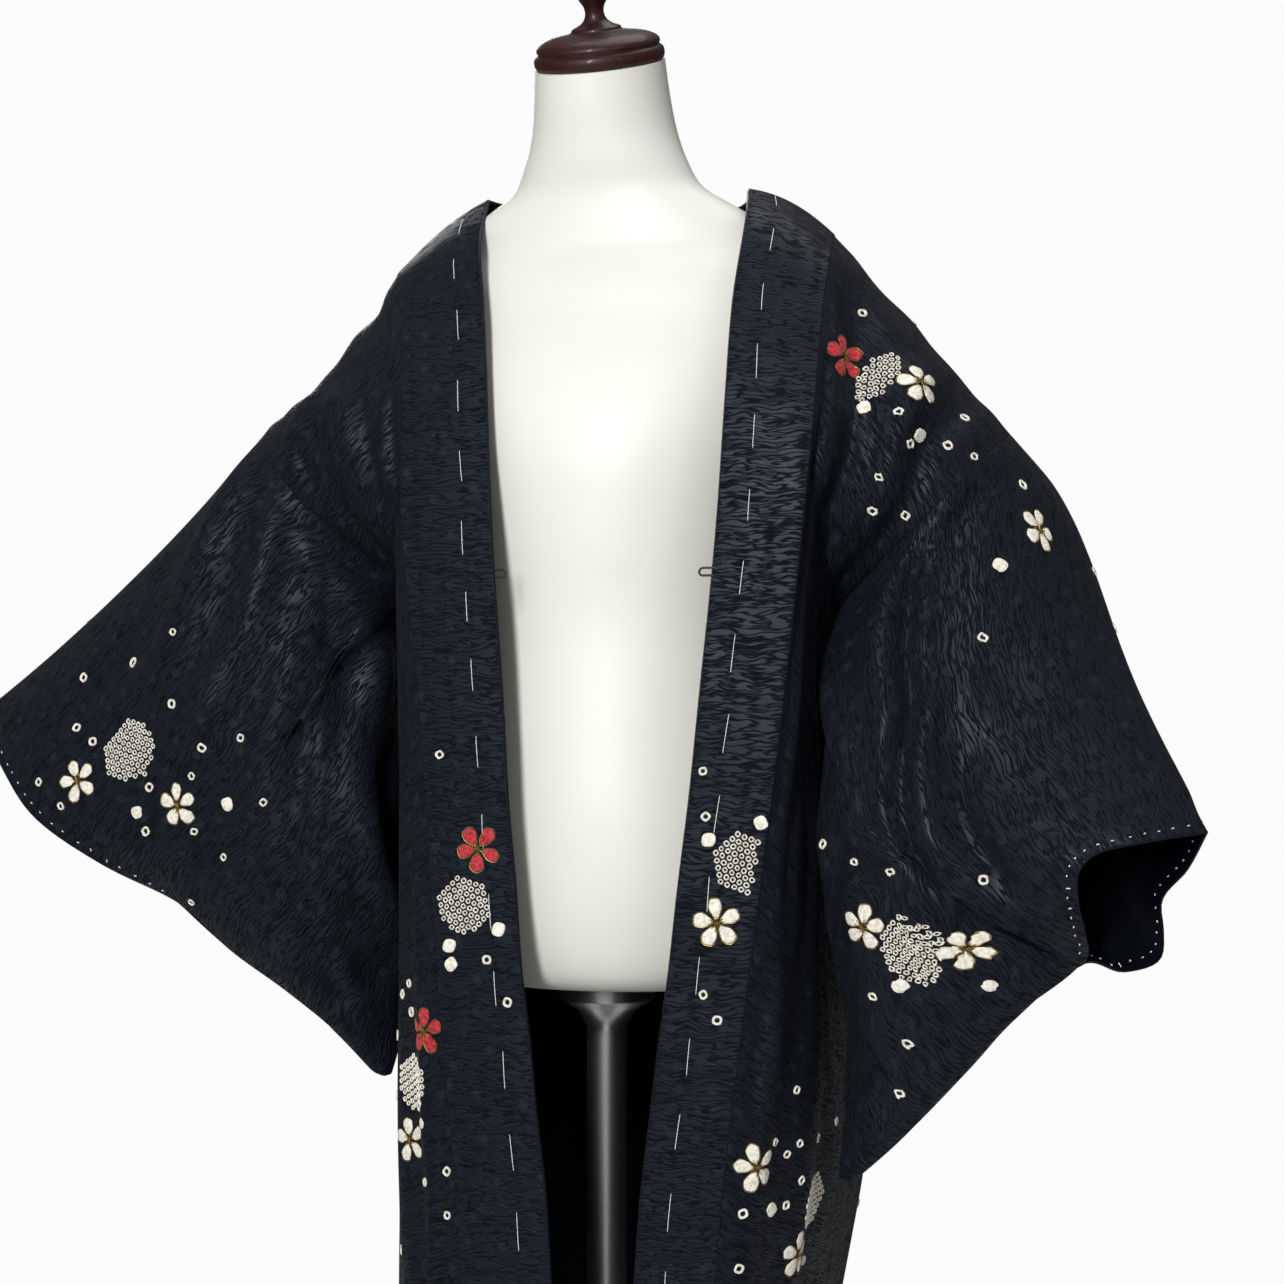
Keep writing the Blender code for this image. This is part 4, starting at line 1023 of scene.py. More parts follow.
OUTER_EDGE = {
    "left": (
        closed(0.00, 0.421, -0.090, 0.922),
        OuterEdge(0.20, 0.390, -0.118, 0.918, 0.408, -0.076, 0.898),
        OuterEdge(0.40, 0.357, -0.140, 0.910, 0.390, -0.062, 0.874),
        OuterEdge(0.50, 0.349, -0.142, 0.901, 0.391, -0.060, 0.858),
        OuterEdge(0.65, 0.347, -0.132, 0.881, 0.389, -0.066, 0.839),
        OuterEdge(0.80, 0.349, -0.118, 0.862, 0.370, -0.082, 0.833),
        closed(1.00, 0.346, -0.095, 0.839),
        closed(1.25, 0.302, -0.092, 0.802),
        closed(1.50, 0.272, -0.092, 0.768),
        closed(1.75, 0.230, -0.090, 0.723),
        closed(2.00, 0.186, -0.087, 0.683),
    ),
    "right": (
        closed(0.00, 0.506, 0.000, 0.984),
        OuterEdge(0.25, 0.463, -0.036, 0.945, 0.460, 0.000, 0.926),
        OuterEdge(0.50, 0.425, -0.052, 0.910, 0.414, 0.004, 0.900),
        OuterEdge(0.75, 0.374, -0.045, 0.877, 0.366, -0.006, 0.878),
        closed(1.00, 0.319, -0.030, 0.849),
        closed(1.25, 0.277, -0.028, 0.815),
        closed(1.50, 0.234, -0.025, 0.787),
        closed(1.75, 0.197, -0.018, 0.757),
        closed(2.00, 0.166, -0.004, 0.720),
    ),
}

# On a sleeve a crease's places are its share down (0 top fold, 1 cuff's end, 2 bottom) and
# its share along from the armhole.
SLEEVE_CREASES = {
    ("left", "front"): table(Crease,
        (0.72, 0.02, 0.62, 0.46, 0.045, 0.008),
        (0.62, 0.42, 1.10, 0.80, 0.045, 0.008),
        (0.04, 0.44, 0.46, 0.92, 0.045, -0.007),
        (0.62, 0.00, 0.52, 0.44, 0.020, -0.009),
        (0.50, 0.40, 0.98, 0.72, 0.022, -0.010),
        (0.40, 0.44, 0.80, 0.74, 0.024, 0.006),
        (0.36, 0.58, 0.80, 0.90, 0.032, -0.010),
        (0.48, 0.14, 0.43, 0.52, 0.020, 0.005),
        (1.10, 0.72, 1.38, 0.98, 0.022, 0.005),
        (1.20, 0.15, 1.90, 0.50, 0.026, 0.004, 0.010),
        (1.15, 0.45, 1.75, 0.75, 0.024, -0.004, -0.008),
    ),
    ("left", "back"): table(Crease,
        (0.30, 0.18, 1.10, 0.55, 0.055, 0.009),
        (0.35, 0.50, 1.50, 0.60, 0.050, 0.007),
        (0.80, 0.20, 1.80, 0.40, 0.028, 0.005, 0.012),
        (0.25, 0.70, 0.90, 0.85, 0.026, -0.004),
    ),
    ("right", "front"): table(Crease,
        (0.08, 0.03, 0.70, 0.62, 0.050, 0.009),
        (0.60, 0.10, 1.50, 0.35, 0.045, -0.007),
        (1.10, 0.30, 1.85, 0.75, 0.045, 0.008),
        (0.56, 0.00, 0.74, 0.62, 0.030, 0.007),
        (1.10, 0.30, 1.48, 0.62, 0.026, -0.007),
        (1.46, 0.58, 1.78, 0.78, 0.026, -0.008),
        (1.06, 0.06, 1.44, 0.46, 0.030, 0.012),
        (1.40, 0.44, 1.92, 0.66, 0.026, 0.012),
        (0.84, 0.02, 0.98, 0.22, 0.014, -0.003),
        (1.12, 0.20, 1.72, 0.74, 0.018, 0.004, 0.020),
        (1.30, 0.70, 1.74, 0.92, 0.022, -0.007),
        (0.30, 0.20, 0.50, 0.70, 0.024, 0.003),
        (0.95, 0.30, 1.35, 0.75, 0.022, -0.004),
    ),
    ("right", "back"): table(Crease,
        (0.15, 0.15, 0.80, 0.60, 0.055, 0.009),
        (0.60, 0.15, 1.60, 0.50, 0.050, 0.007),
        (0.90, 0.50, 1.80, 0.70, 0.028, 0.005, -0.012),
        (0.30, 0.70, 0.80, 0.88, 0.026, -0.004),
    ),
}


def round_over(t):
    """A quarter circle: 0 at t = 0 and 1 from t = 1 on."""
    t = np.clip(t, 0.0, 1.0)
    return np.sqrt(1 - (1 - t) ** 2)


def sleeve_row(side, down, layer, along):
    """A row of a sleeve: along 0 armhole, 1 cuff; layer -1 front, 1 back, 0 half-way between."""
    corner = SLEEVE_CORNER / (SLEEVE_DROP / 2)
    rounding = min(max((down - (2 - corner)) / corner, 0.0), 1.0)
    along = along * (1 - SLEEVE_CORNER / SLEEVE_WIDTH * (1 - math.sqrt(1 - rounding**2)))
    bottom = round_over((2 - down) / BOTTOM_ROUNDING)
    lips = read(OUTER_EDGE[side], down)
    outer = lips[:3] if layer < 0 else lips[3:]
    if down < 1:
        turn = math.acos(1 - 2 * down) / math.pi
        inner = armhole_point(side, layer * turn)
        edge = (armhole_point(side, -turn) + armhole_point(side, turn)) / 2
    else:
        inner = edge = read(FREE_EDGE[side], down)
    *middle, apart = read(SLEEVE_MIDDLE[side], down)
    ahead = (lips[:3] + lips[3:]) / 2 - edge
    ahead[2] = 0.0
    ahead /= np.linalg.norm(ahead)
    backwards = np.array((-ahead[1], ahead[0], 0.0)) * layer / 2
    middle = np.array(middle) + backwards * apart * round_over(down / TOP_ROUNDING) * bottom
    bend = 2 * middle - (inner + outer) / 2
    row = bow_row(inner, bend, outer, along)
    row[:, 0] += ELBOW[side] * along * (1 - along) ** 2 * (ELBOW_END - along) * ease(1 - down)
    shut = ease((down - 1 + CUFF_CLOSING) / CUFF_CLOSING)
    beside = CLOSED_APART * bottom * round_over(down / FOLD_ROUNDING)
    beside = beside * (shut * round_over((1 - along) / CUFF_ROUNDING)
                       + (1 - shut) * ease((1 - along) / OPEN_EDGE))
    if down < 1:
        beside = beside * ease(along / OPEN_EDGE)
    tangent = (bend - inner) * (1 - along[:, None]) + (outer - bend) * along[:, None]
    tangent[:, 2] = 0.0
    tangent /= np.linalg.norm(tangent, axis=1)[:, None]
    facing = np.stack((-tangent[:, 1], tangent[:, 0], np.zeros(len(along))), axis=1) * layer / 2
    return row + facing * beside[:, None]


def sleeve_bag(side):
    """Front and back in one length over the top fold, from the front's bottom to the back's."""
    stations = edged_stations(SLEEVE_COLUMNS)
    cuff_levels = [(1 - math.cos(math.pi * i / ARM_ROWS)) / 2 for i in range(ARM_ROWS + 1)]
    low_levels = [2 - (1 - i / SLEEVE_LOW_ROWS) ** LOW_ROW_SPREAD
                  for i in range(1, SLEEVE_LOW_ROWS + 1)]
    levels = cuff_levels + low_levels
    shares = [-level for level in reversed(levels)] + levels[1:]
    points = []
    for share in shares:
        down, layer = abs(share), (1 if share > 0 else -1)
        if down in (0, 2):
            layer = 0
        row = sleeve_row(side, down, layer, stations)
        if down >= 1:
            row[-1] = sleeve_row(side, down, 0, stations[-1:])[0]
        points.append(sided(row, side))
    last_row, last_column = len(shares) - 1, len(stations) - 1
    welds = [((0, column), (last_row, column)) for column in range(last_column)]
    for row in range(len(low_levels) + 1):
        welds.append(((row, last_column), (last_row - row, last_column)))
    sleeve = Cloth(points, np.array(shares) * SLEEVE_DROP / 2, side == "right", welds)
    down, along = np.meshgrid(shares, stations, indexing="ij")
    front = crease_lift(SLEEVE_CREASES[side, "front"], -down, along, SLEEVE_DROP / 2, SLEEVE_WIDTH)
    back = crease_lift(SLEEVE_CREASES[side, "back"], down, along, SLEEVE_DROP / 2, SLEEVE_WIDTH)
    lift = np.where(down < 0, front, back)
    lift += slack_lift(along * SLEEVE_WIDTH, down * SLEEVE_DROP / 2, "sleeve " + side)
    edge = np.minimum(along, 1 - along) * SLEEVE_WIDTH
    fold_edge = np.minimum(np.abs(down), 2 - np.abs(down)) * SLEEVE_DROP / 2
    sleeve.lift(lift * ease(np.minimum(edge, fold_edge) / SEAM_CALM))
    sleeve.measure_down()
    return sleeve


sleeves = {side: sleeve_bag(side) for side in SIDES}
for side, sleeve in sleeves.items():
    panel = panels[side]
    top_row = len(sleeve.downs) // 2
    arm = range(1 - ARM_ROWS, ARM_ROWS)
    panel_places = [(PANEL_ROWS + row, panel.last_column) for row in arm]
    sew(panel, panel_places, sleeve, [(top_row + row, 0) for row in arm])
    sode = sleeve.shell(f"sode_{side}", silk, silk_inside)
    declare_cloth(sode, f"sode_sleeve_{side}")
    migoro = panel.shell(f"migoro_{side}", silk, silk_inside)
    declare_cloth(migoro, f"migoro_panel_{side}")


# ======================================================================== cord loops (chi)
# Two narrow loops of folded silk stand out from the collar's edge at chest height, for the
# cords that tie a haori. They are sewn into the collar's fold.

CHI_SHARE = 0.325       # where the loops sit on the fronts
CHI_SPREAD = 0.0050     # between the two ends of a loop
CHI_REACH = 0.0100
CHI_RADIUS = 0.0008
CHI_STEPS = 14
CHI_SIDES = 10
CHI_NEXT = 0.01         # share of the front from a loop to the place that gives its way down
UPRIGHT = 0.9           # a cord that rises more steeply than this starts from another side
CORD_WEAVE = 1 / 1800   # 0.56 mm: spacing of the cord's threads, drawn coarser than they are


def tube(points, radius, sides):
    """Points and faces of a thread or cord with flat ends round a path."""
    path = np.array(points, float)
    runs = np.gradient(path, axis=0)
    runs /= np.linalg.norm(runs, axis=1)[:, None]
    aside = np.cross(runs[0], (0.0, 0.0, 1.0) if abs(runs[0][2]) < UPRIGHT else (1.0, 0.0, 0.0))
    places = []
    for centre, run in zip(path, runs):
        aside = aside - run * (aside @ run)
        aside /= np.linalg.norm(aside)
        beside = np.cross(run, aside)
        for turn in turns(sides):
            places.append(centre + radius * (aside * math.cos(turn) + beside * math.sin(turn)))
    return places, closed_faces(len(path), sides)


def chi_loop(side, cord):
    free = collar_edge(side, -CHI_SHARE, "free")
    seam = collar_edge(side, -CHI_SHARE, "seam")
    below = collar_edge(side, -CHI_SHARE - CHI_NEXT, "free")
    out = (free - seam) / np.linalg.norm(free - seam)
    down = (below - free) / np.linalg.norm(below - free)
    radius = CHI_SPREAD / 2
    path = [free - out * CHI_RADIUS - down * radius]
    for step in range(CHI_STEPS + 1):
        turn = math.pi * step / CHI_STEPS
        away = out * math.sin(turn) - down * math.cos(turn)
        path.append(free + out * (CHI_REACH - radius - CHI_RADIUS) + away * radius)
    path.append(free - out * CHI_RADIUS + down * radius)
    loop = add_mesh(f"chi_{side}", *tube(sided(path, side), CHI_RADIUS, CHI_SIDES), cord)
    stand_for(loop, f"chi_loop_{side}")


def silk_cord():
    """Black silk folded and sewn into a narrow cord: a plain weave with a low sheen."""
    look = start_look(bpy.data.materials.new("black_silk_folded_cord"))
    place = add_node(look, "TexCoord").outputs["Object"]
    return close_material(look, {
        "Base Color": linear(SILK_RIDGE), "Roughness": 0.5,
        "Normal": fine_grain(look, place, CORD_WEAVE, detail=2.0, strength=0.3, height=0.0002),
    })


chi_cord = silk_cord()
for side in SIDES:
    chi_loop(side, chi_cord)


# ======================================================================== tied and dyed sprays (shibori)
# Petals, dots and rings of the silk were bound off before it was dyed, so they stayed cream or
# were dabbed with crimson and stand up a little in puckers. Gold thread is stitched down round
# the petals and fans out from each flower's middle.

CREAM_LIGHT = "F4F1E6"
CREAM_DEEP = "D3CCB8"
CRIMSON_LIGHT = "C4343F"
CRIMSON_DEEP = "84101E"
GOLD_THREAD = "9C8248"
WRINKLE = 0.0011        # width of the puckered silk's wrinkles
DYE_PATCH = 1 / 420     # 2.4 mm: size of the patches in which the dye or the cream is deeper
GOLD_TWIST = 1 / 1500   # 0.67 mm: the gold leaf's turns round its thread, drawn coarser than they are
CREAM, CRIMSON, GOLD = range(3)         # a spray's materials in their order

BLOSSOM_RADIUS = 0.0160
FLOWER_PETALS = 5
PETAL_SIDES = 18
PETAL_MIDDLE = 0.0092   # from the flower's middle to a petal's
PETAL_LENGTH = 0.0128
PETAL_WIDTH = 0.0122
PETAL_RISE = 0.0009
PETAL_TWIST = 4         # degrees either way
PETAL_STRAY = (0.96, 1.04)      # petals lie this much nearer or further off,
PETAL_LONGER = (0.90, 1.06)     # are this much shorter or longer
PETAL_WIDER = (0.86, 1.06)      # and this much narrower or wider
PETAL_NARROWING = 0.26  # how much narrower a petal is at its root, as a share of its half width
PETAL_CRINKLE = 0.04    # share of its size by which its outline wavers
CRINKLE_RATE = 2.1      # of these wavers, in radians from one point to the next
CRINKLE_PHASES = (0, 6)
GOLD_OUTSIDE = 1.06     # size of the gold thread's outline, the petal's being 1
GOLD_RADIUS = 0.00022
STAMENS = 10
STAMEN_START = 0.0004   # from the flower's middle
STAMEN_REACH = 0.0062
STAMEN_LONGER = (0.75, 1.10)
STAMEN_TWIST = 9        # degrees either way
STAMEN_RISE = (0.0005, 0.0013, 0.0014, 0.0004)
STAMEN_SIDES = 5

DOT_RADIUS = 0.0046
DOT_WIDER = (0.92, 1.08)
DOT_RISE = 0.0010
RING_RADIUS = 0.0033
RING_WIDER = (0.82, 1.08)
RING_RISE = 0.0010
RING_SIDES = 16
KNOT_RADIUS = 0.0019    # the small rings of a cluster
KNOT_WIDER = (0.90, 1.08)
KNOT_RISE = 0.0008
KNOT_SIDES = 10
KNOT_PITCH = 0.0047
KNOT_ROW = 0.86         # from row to row, as a share of the pitch
KNOT_STRAY = 0.0002     # how far a knot lies off its place in the rows
SQUARENESS = 3          # 2 would make rings and dots round
SQUARE_PULL = 0.07      # share of its size by which the binding pulls one out of shape at most,
PULL_LESS = (0.4, 1.0)  # this much of it in each,
PULL_PHASES = (0, 6.3)  # in any direction
CLUSTER_RADIUS = 0.0190
CLUSTER_LOBES = 5
CLUSTER_WAVER = 0.05    # share of its radius by which the cluster's edge wavers

SUNK = 0.00015          # how far a shape's foot lies under the silk's face
AXIS_STEP = 0.003       # distance over which the cloth's own directions are measured
HEM_MARGIN = 0.0045     # no shape is worked from nearer an edge than this
MOST_PULL = 1.5         # rings keep off cloth that is gathered up more than this
WALK_STEPS = 3          # stops at which the way to a petal or knot is turned to the cloth
RINGS_NEAR = 8          # rings tried round each flower and cluster
RING_SPREAD = 0.050     # usual distance of such a ring across or down
CLEARANCE = 0.003       # between two shapes

# The size and height of a shape from its foot inwards, as shares of its outline and rise.
PUCKER = ((0.94, 0.60), (0.74, 0.92), (0.38, 1.00))
RING_LIP = ((0.90, 0.75), (0.72, 1.00), (0.54, 0.55), (0.44, -0.15))
GOLD_RIM = ((1.05, 0.35), (0.97, 0.25))

# A motif's middle lies this far across and down its piece of cloth and is turned by this many
# degrees; a cluster may be wider or higher than the round one.
Motif = namedtuple("Motif", "kind across down turn wide high", defaults=(1.0, 1.0))
MOTIFS = {
    ("panel", "left"): table(Motif,
        ("cream flower", 0.099, -0.072, 10), ("crimson flower", 0.030, -0.115, 80),
        ("cluster", 0.066, -0.097, 20, 0.6, 1.15), ("dot", 0.059, -0.127, 0),
        ("dot", 0.118, -0.097, 0), ("cream flower", 0.023, -0.662, 60),
        ("cluster", 0.103, -0.670, 25), ("cream flower", 0.080, -0.708, 35),
        ("dot", 0.046, -0.684, 0),
    ),
    ("panel", "right"): table(Motif,
        ("crimson flower", 0.018, -0.588, 30), ("cluster", 0.040, -0.618, 10),
        ("cream flower", 0.050, -0.655, 50),
    ),
    ("sleeve", "left"): table(Motif,
        ("cream flower", 0.072, -0.004, 15), ("dot", 0.082, -0.026, 0),
        ("cream flower", 0.216, -0.290, 55), ("cluster", 0.252, -0.272, 30, 1.15, 1.20),
        ("cream flower", 0.281, -0.247, 20), ("dot", 0.305, -0.262, 0),
        ("dot", 0.252, -0.308, 0),
    ),
    ("sleeve", "right"): table(Motif,
        ("cream flower", 0.275, -0.111, 40), ("cluster", 0.229, -0.124, 0, 1.25, 1.05),
        ("cream flower", 0.236, -0.176, 15), ("dot", 0.264, -0.157, 0),
        ("dot", 0.211, -0.206, 0),
    ),
    ("collar", None): table(Motif,
        ("crimson flower", 0.023, -0.585, 15), ("cluster", 0.037, -0.622, 45),
        ("dot", 0.013, -0.636, 0), ("dot", 0.050, -0.648, 0),
        ("dot", 0.050, -0.660, 0), ("cluster", 0.040, 0.590, 40),
        ("cream flower", 0.028, 0.627, 25), ("dot", 0.016, 0.576, 0),
        ("dot", 0.050, 0.565, 0),
    ),
}
# On the back the same spray is repeated: a flower on either side of a cluster, and two dots.
SPRAY = table(Motif,
    ("cluster", 0.000, 0.000, 15), ("cream flower", -0.040, 0.006, 30),
    ("cream flower", 0.038, -0.022, 10), ("dot", 0.020, 0.030, 0),
    ("dot", -0.014, -0.032, 0),
)
BACK_SPRAYS = {
    ("panel", "left"): ((0.20, 0.16), (0.08, 0.38), (0.19, 0.60), (0.09, 0.80)),
    ("panel", "right"): ((0.10, 0.20), (0.19, 0.44), (0.08, 0.64), (0.17, 0.82)),
    ("sleeve", "left"): ((0.25, 0.13), (0.12, 0.33)),
    ("sleeve", "right"): ((0.24, 0.12), (0.13, 0.32)),
}
MOTIF_SIZES = {"cream flower": BLOSSOM_RADIUS, "crimson flower": BLOSSOM_RADIUS,
               "cluster": CLUSTER_RADIUS, "dot": DOT_RADIUS, "ring": RING_RADIUS}


class Relief:
    """Small raised shapes on one piece of cloth, gathered into one mesh."""

    def __init__(self, cloth):
        self.cloth = cloth
        self.places = []
        self.faces = []
        self.looks = []
        self.count = 0

    def stand(self, across, down):
        """Work from this place: its two square axes on the cloth, as steps in the flat cut."""
        wanted = (across, down)
        down = float(np.clip(down, self.cloth.downs[0] + HEM_MARGIN, self.cloth.downs[-1] - HEM_MARGIN))
        row = int(np.interp(down, self.cloth.downs, np.arange(len(self.cloth.downs))))
        width = self.cloth.across[row:row + 2].max(axis=1).min()
        across = float(np.clip(across, HEM_MARGIN, width - HEM_MARGIN))
        steps = np.array(((0, 0), (1, 0), (-1, 0), (0, 1), (0, -1))) * AXIS_STEP + (across, down)
        here, *around = self.cloth.place(steps[:, 0], steps[:, 1], 0.0)
        facing = self.cloth.place(across, down, 1.0)[0] - here
        along, drop = (max((around[k] - here, here - around[k + 1]), key=np.linalg.norm) / AXIS_STEP
                       for k in (0, 2))
        first = along / np.linalg.norm(along)
        second = np.cross(facing / np.linalg.norm(facing), first)
        real = np.array(((along @ first, drop @ first), (along @ second, drop @ second)))
        self.axes = np.linalg.inv(real).T
        self.middle = np.array((across, down))
        self.on_cloth = np.allclose(self.middle, wanted)

    def walk(self, motif, offset):
        """Stand at this offset from a motif's middle, following the cloth there."""
        self.stand(motif.across, motif.down)
        for _ in range(WALK_STEPS):
            self.stand(*(np.array(offset) / WALK_STEPS @ self.axes + self.middle))

    def put(self, offsets, heights):
        """Offsets in metres from where it stands, laid on the cloth."""
        flat = np.array(offsets) @ self.axes + self.middle
        return self.cloth.place(flat[:, 0], flat[:, 1], heights)

    def keep(self, places, faces, look=0):
        self.faces += [[index + self.count for index in face] for face in faces]
        self.looks += [look] * len(faces)
        self.places.append(places)
        self.count += len(places)

    def raise_shape(self, outline, profile, rise, look, capped=True):
        """A shape that rises from its outline loop by loop, closed over by a cap if it has one."""
        loops = [self.put(outline, -SUNK)]
        for size, share in profile:
            loops.append(self.put(widened(outline, size), share * rise))
        _, *faces, cap = closed_faces(len(loops), len(outline))
        self.keep(np.concatenate(loops), faces + [cap] * capped, look)

    def mesh(self, name, *looks):
        thing = add_mesh(name, np.concatenate(self.places), self.faces, *looks)
        thing.data.polygons.foreach_set("material_index", self.looks)
        return thing


def widened(outline, size):
    centre = outline.mean(axis=0)
    return centre + (outline - centre) * size


def spun(points, degrees):
    turn = math.radians(degrees)
    return points @ np.array(((math.cos(turn), math.sin(turn)), (-math.sin(turn), math.cos(turn))))


def egg(length, width, sides):
    """An egg with its narrow end towards -x."""
    turn = turns(sides)
    narrow = 1 - PETAL_NARROWING + PETAL_NARROWING * np.cos(turn)
    return np.stack((length / 2 * np.cos(turn), width / 2 * np.sin(turn) * narrow), axis=1)


def squarish(radius, sides, chance):
    """A rounded square that the binding has pulled a little out of shape."""
    turn = turns(sides)
    reach = np.abs(np.cos(turn)) ** SQUARENESS + np.abs(np.sin(turn)) ** SQUARENESS
    reach **= -1 / SQUARENESS
    pull = np.sin(2 * turn + chance.uniform(*PULL_PHASES)) * chance.uniform(*PULL_LESS)
    reach *= 1 + SQUARE_PULL * pull
    return radius * (reach * np.stack((np.cos(turn), np.sin(turn)))).T


def tie_flower(relief, motif, chance):
    """Five petals of slightly different size, gold thread round each and between them."""
    look = CRIMSON if motif.kind == "crimson flower" else CREAM
    for k in range(FLOWER_PETALS):
        turn = motif.turn + 360 / FLOWER_PETALS * k + chance.uniform(-PETAL_TWIST, PETAL_TWIST)
        relief.walk(motif, spun((PETAL_MIDDLE * chance.uniform(*PETAL_STRAY), 0.0), turn))
        length = PETAL_LENGTH * chance.uniform(*PETAL_LONGER)
        outline = egg(length, PETAL_WIDTH * chance.uniform(*PETAL_WIDER), PETAL_SIDES)
        waver = np.sin(np.arange(PETAL_SIDES) * CRINKLE_RATE + chance.uniform(*CRINKLE_PHASES))
        outline = spun(outline * (1 + PETAL_CRINKLE * waver[:, None]), turn)
        relief.raise_shape(outline, PUCKER, PETAL_RISE, look)
        relief.raise_shape(widened(outline, GOLD_OUTSIDE), GOLD_RIM, PETAL_RISE, GOLD, capped=False)
    relief.stand(motif.across, motif.down)
    for k in range(STAMENS):
        turn = motif.turn + 360 / STAMENS * (k + 0.5) + chance.uniform(-STAMEN_TWIST, STAMEN_TWIST)
        reach = STAMEN_REACH * chance.uniform(*STAMEN_LONGER)
        run = np.linspace(STAMEN_START, reach, len(STAMEN_RISE))
        path = relief.put(spun(np.stack((run, 0 * run), axis=1), turn), np.array(STAMEN_RISE))
        relief.keep(*tube(path, GOLD_RADIUS, STAMEN_SIDES), GOLD)


def tie_cluster(relief, motif, chance):
    """Staggered rows of the smallest rings, filling a rounded patch."""
    rows = int(CLUSTER_RADIUS / KNOT_PITCH) + 1
    phase = chance.uniform(0, 2 * math.pi)
    for r in range(-rows, rows + 1):
        for c in range(-rows, rows + 1):
            x, y = (c + 0.5 * (r % 2)) * KNOT_PITCH, r * KNOT_PITCH * KNOT_ROW
            waver = math.cos(CLUSTER_LOBES * math.atan2(y, x) + phase)
            edge = CLUSTER_RADIUS * (1 + CLUSTER_WAVER * waver)
            if math.hypot(x / motif.wide, y / motif.high) > edge:
                continue
            shift = chance.uniform(-1, 1) * KNOT_STRAY, chance.uniform(-1, 1) * KNOT_STRAY
            relief.walk(motif, spun(np.array((x, y)) + shift, motif.turn))
            if not relief.on_cloth:
                continue
            knot = squarish(KNOT_RADIUS * chance.uniform(*KNOT_WIDER), KNOT_SIDES, chance)
            relief.raise_shape(spun(knot, motif.turn), RING_LIP, KNOT_RISE, CREAM, capped=False)


def tie_ring(relief, motif, chance):
    relief.stand(motif.across, motif.down)
    outline = squarish(RING_RADIUS * chance.uniform(*RING_WIDER), RING_SIDES, chance)
    relief.raise_shape(spun(outline, motif.turn), RING_LIP, RING_RISE, CREAM, capped=False)


def tie_dot(relief, motif, chance):
    relief.stand(motif.across, motif.down)
    outline = squarish(DOT_RADIUS * chance.uniform(*DOT_WIDER), RING_SIDES, chance)
    relief.raise_shape(spun(outline, chance.uniform(0, 90)), PUCKER, DOT_RISE, CREAM)


TIES = {"cream flower": tie_flower, "crimson flower": tie_flower, "cluster": tie_cluster,
        "ring": tie_ring, "dot": tie_dot}


def strew_rings(relief, motifs, chance):
    """Rings round the flowers and clusters, thinner further off and clear of one another."""
    taken = list(motifs)
    for motif in motifs:
        if motif.kind == "dot":
            continue
        for _ in range(RINGS_NEAR):
            across = motif.across + chance.gauss(0, RING_SPREAD)
            down = motif.down + chance.gauss(0, RING_SPREAD)
            relief.stand(across, down)
            inside = relief.on_cloth and np.abs(relief.axes).max() < MOST_PULL
            gaps = [math.hypot(across - other.across, down - other.down) - MOTIF_SIZES[other.kind]
                    for other in taken]
            if inside and min(gaps) > RING_RADIUS + CLEARANCE:
                taken.append(Motif("ring", across, down, chance.uniform(0, 90)))
    return taken[len(motifs):]


def puckered_silk(name, light, deep):
    """Undyed or dabbed silk in tight wrinkles that the binding left, matt against the satin."""
    look = start_look(bpy.data.materials.new(name))
    place = add_node(look, "TexCoord").outputs["Object"]
    cells = add_node(look, "TexVoronoi", {"Vector": place, "Scale": 1 / WRINKLE}, feature="SMOOTH_F1")
    cloud = add_node(look, "TexNoise", {"Vector": place, "Scale": 1 / DYE_PATCH, "Detail": 3.0})
    return close_material(look, {
        "Base Color": two_colours(look, cloud, 0.34, deep, 0.58, light),
        "Roughness": 0.62, "Specular IOR Level": 0.30, "Sheen Weight": 0.15,
        "Normal": add_node(look, "Bump", {"Height": cells, "Strength": 0.65, "Distance": 0.0006}),
    })


def gold_couching():
    """Thread wrapped in gold leaf, laid on the silk and stitched down; dulled by age."""
    look = start_look(bpy.data.materials.new("couched_gold_wrapped_thread"))
    place = add_node(look, "TexCoord").outputs["Object"]
    return close_material(look, {
        "Base Color": linear(GOLD_THREAD), "Metallic": 0.75, "Roughness": 0.42,
        "Normal": fine_grain(look, place, GOLD_TWIST, detail=1.0, strength=0.4, height=0.0002),
    })


tied_looks = (puckered_silk("tie_dyed_cream_silk", CREAM_LIGHT, CREAM_DEEP),
              puckered_silk("tie_dyed_crimson_silk", CRIMSON_LIGHT, CRIMSON_DEEP),
              gold_couching())
cloths = {("collar", None): collar}
for side in SIDES:
    cloths["panel", side] = panels[side]
    cloths["sleeve", side] = sleeves[side]
for (kind, side), front_motifs in MOTIFS.items():
    chance = random.Random(f"shibori {kind} {side}")
    motifs = list(front_motifs)
    for across, down in BACK_SPRAYS.get((kind, side), ()):
        motifs += [Motif(one.kind, across + one.across, down + one.down, one.turn) for one in SPRAY]
    relief = Relief(cloths[kind, side])
    for motif in motifs + strew_rings(relief, motifs, chance):
        TIES[motif.kind](relief, motif, chance)
    spray = relief.mesh("_".join(["shibori", kind] + ([side] if side else [])), *tied_looks)
    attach(spray, "root")


# ======================================================================== basting and cuff stitches
# White cotton basting holds the collar's fold for storage, a long stitch and a gap at a
# time, and tiny white stitches in silk hold the turned edge of the cuffs.

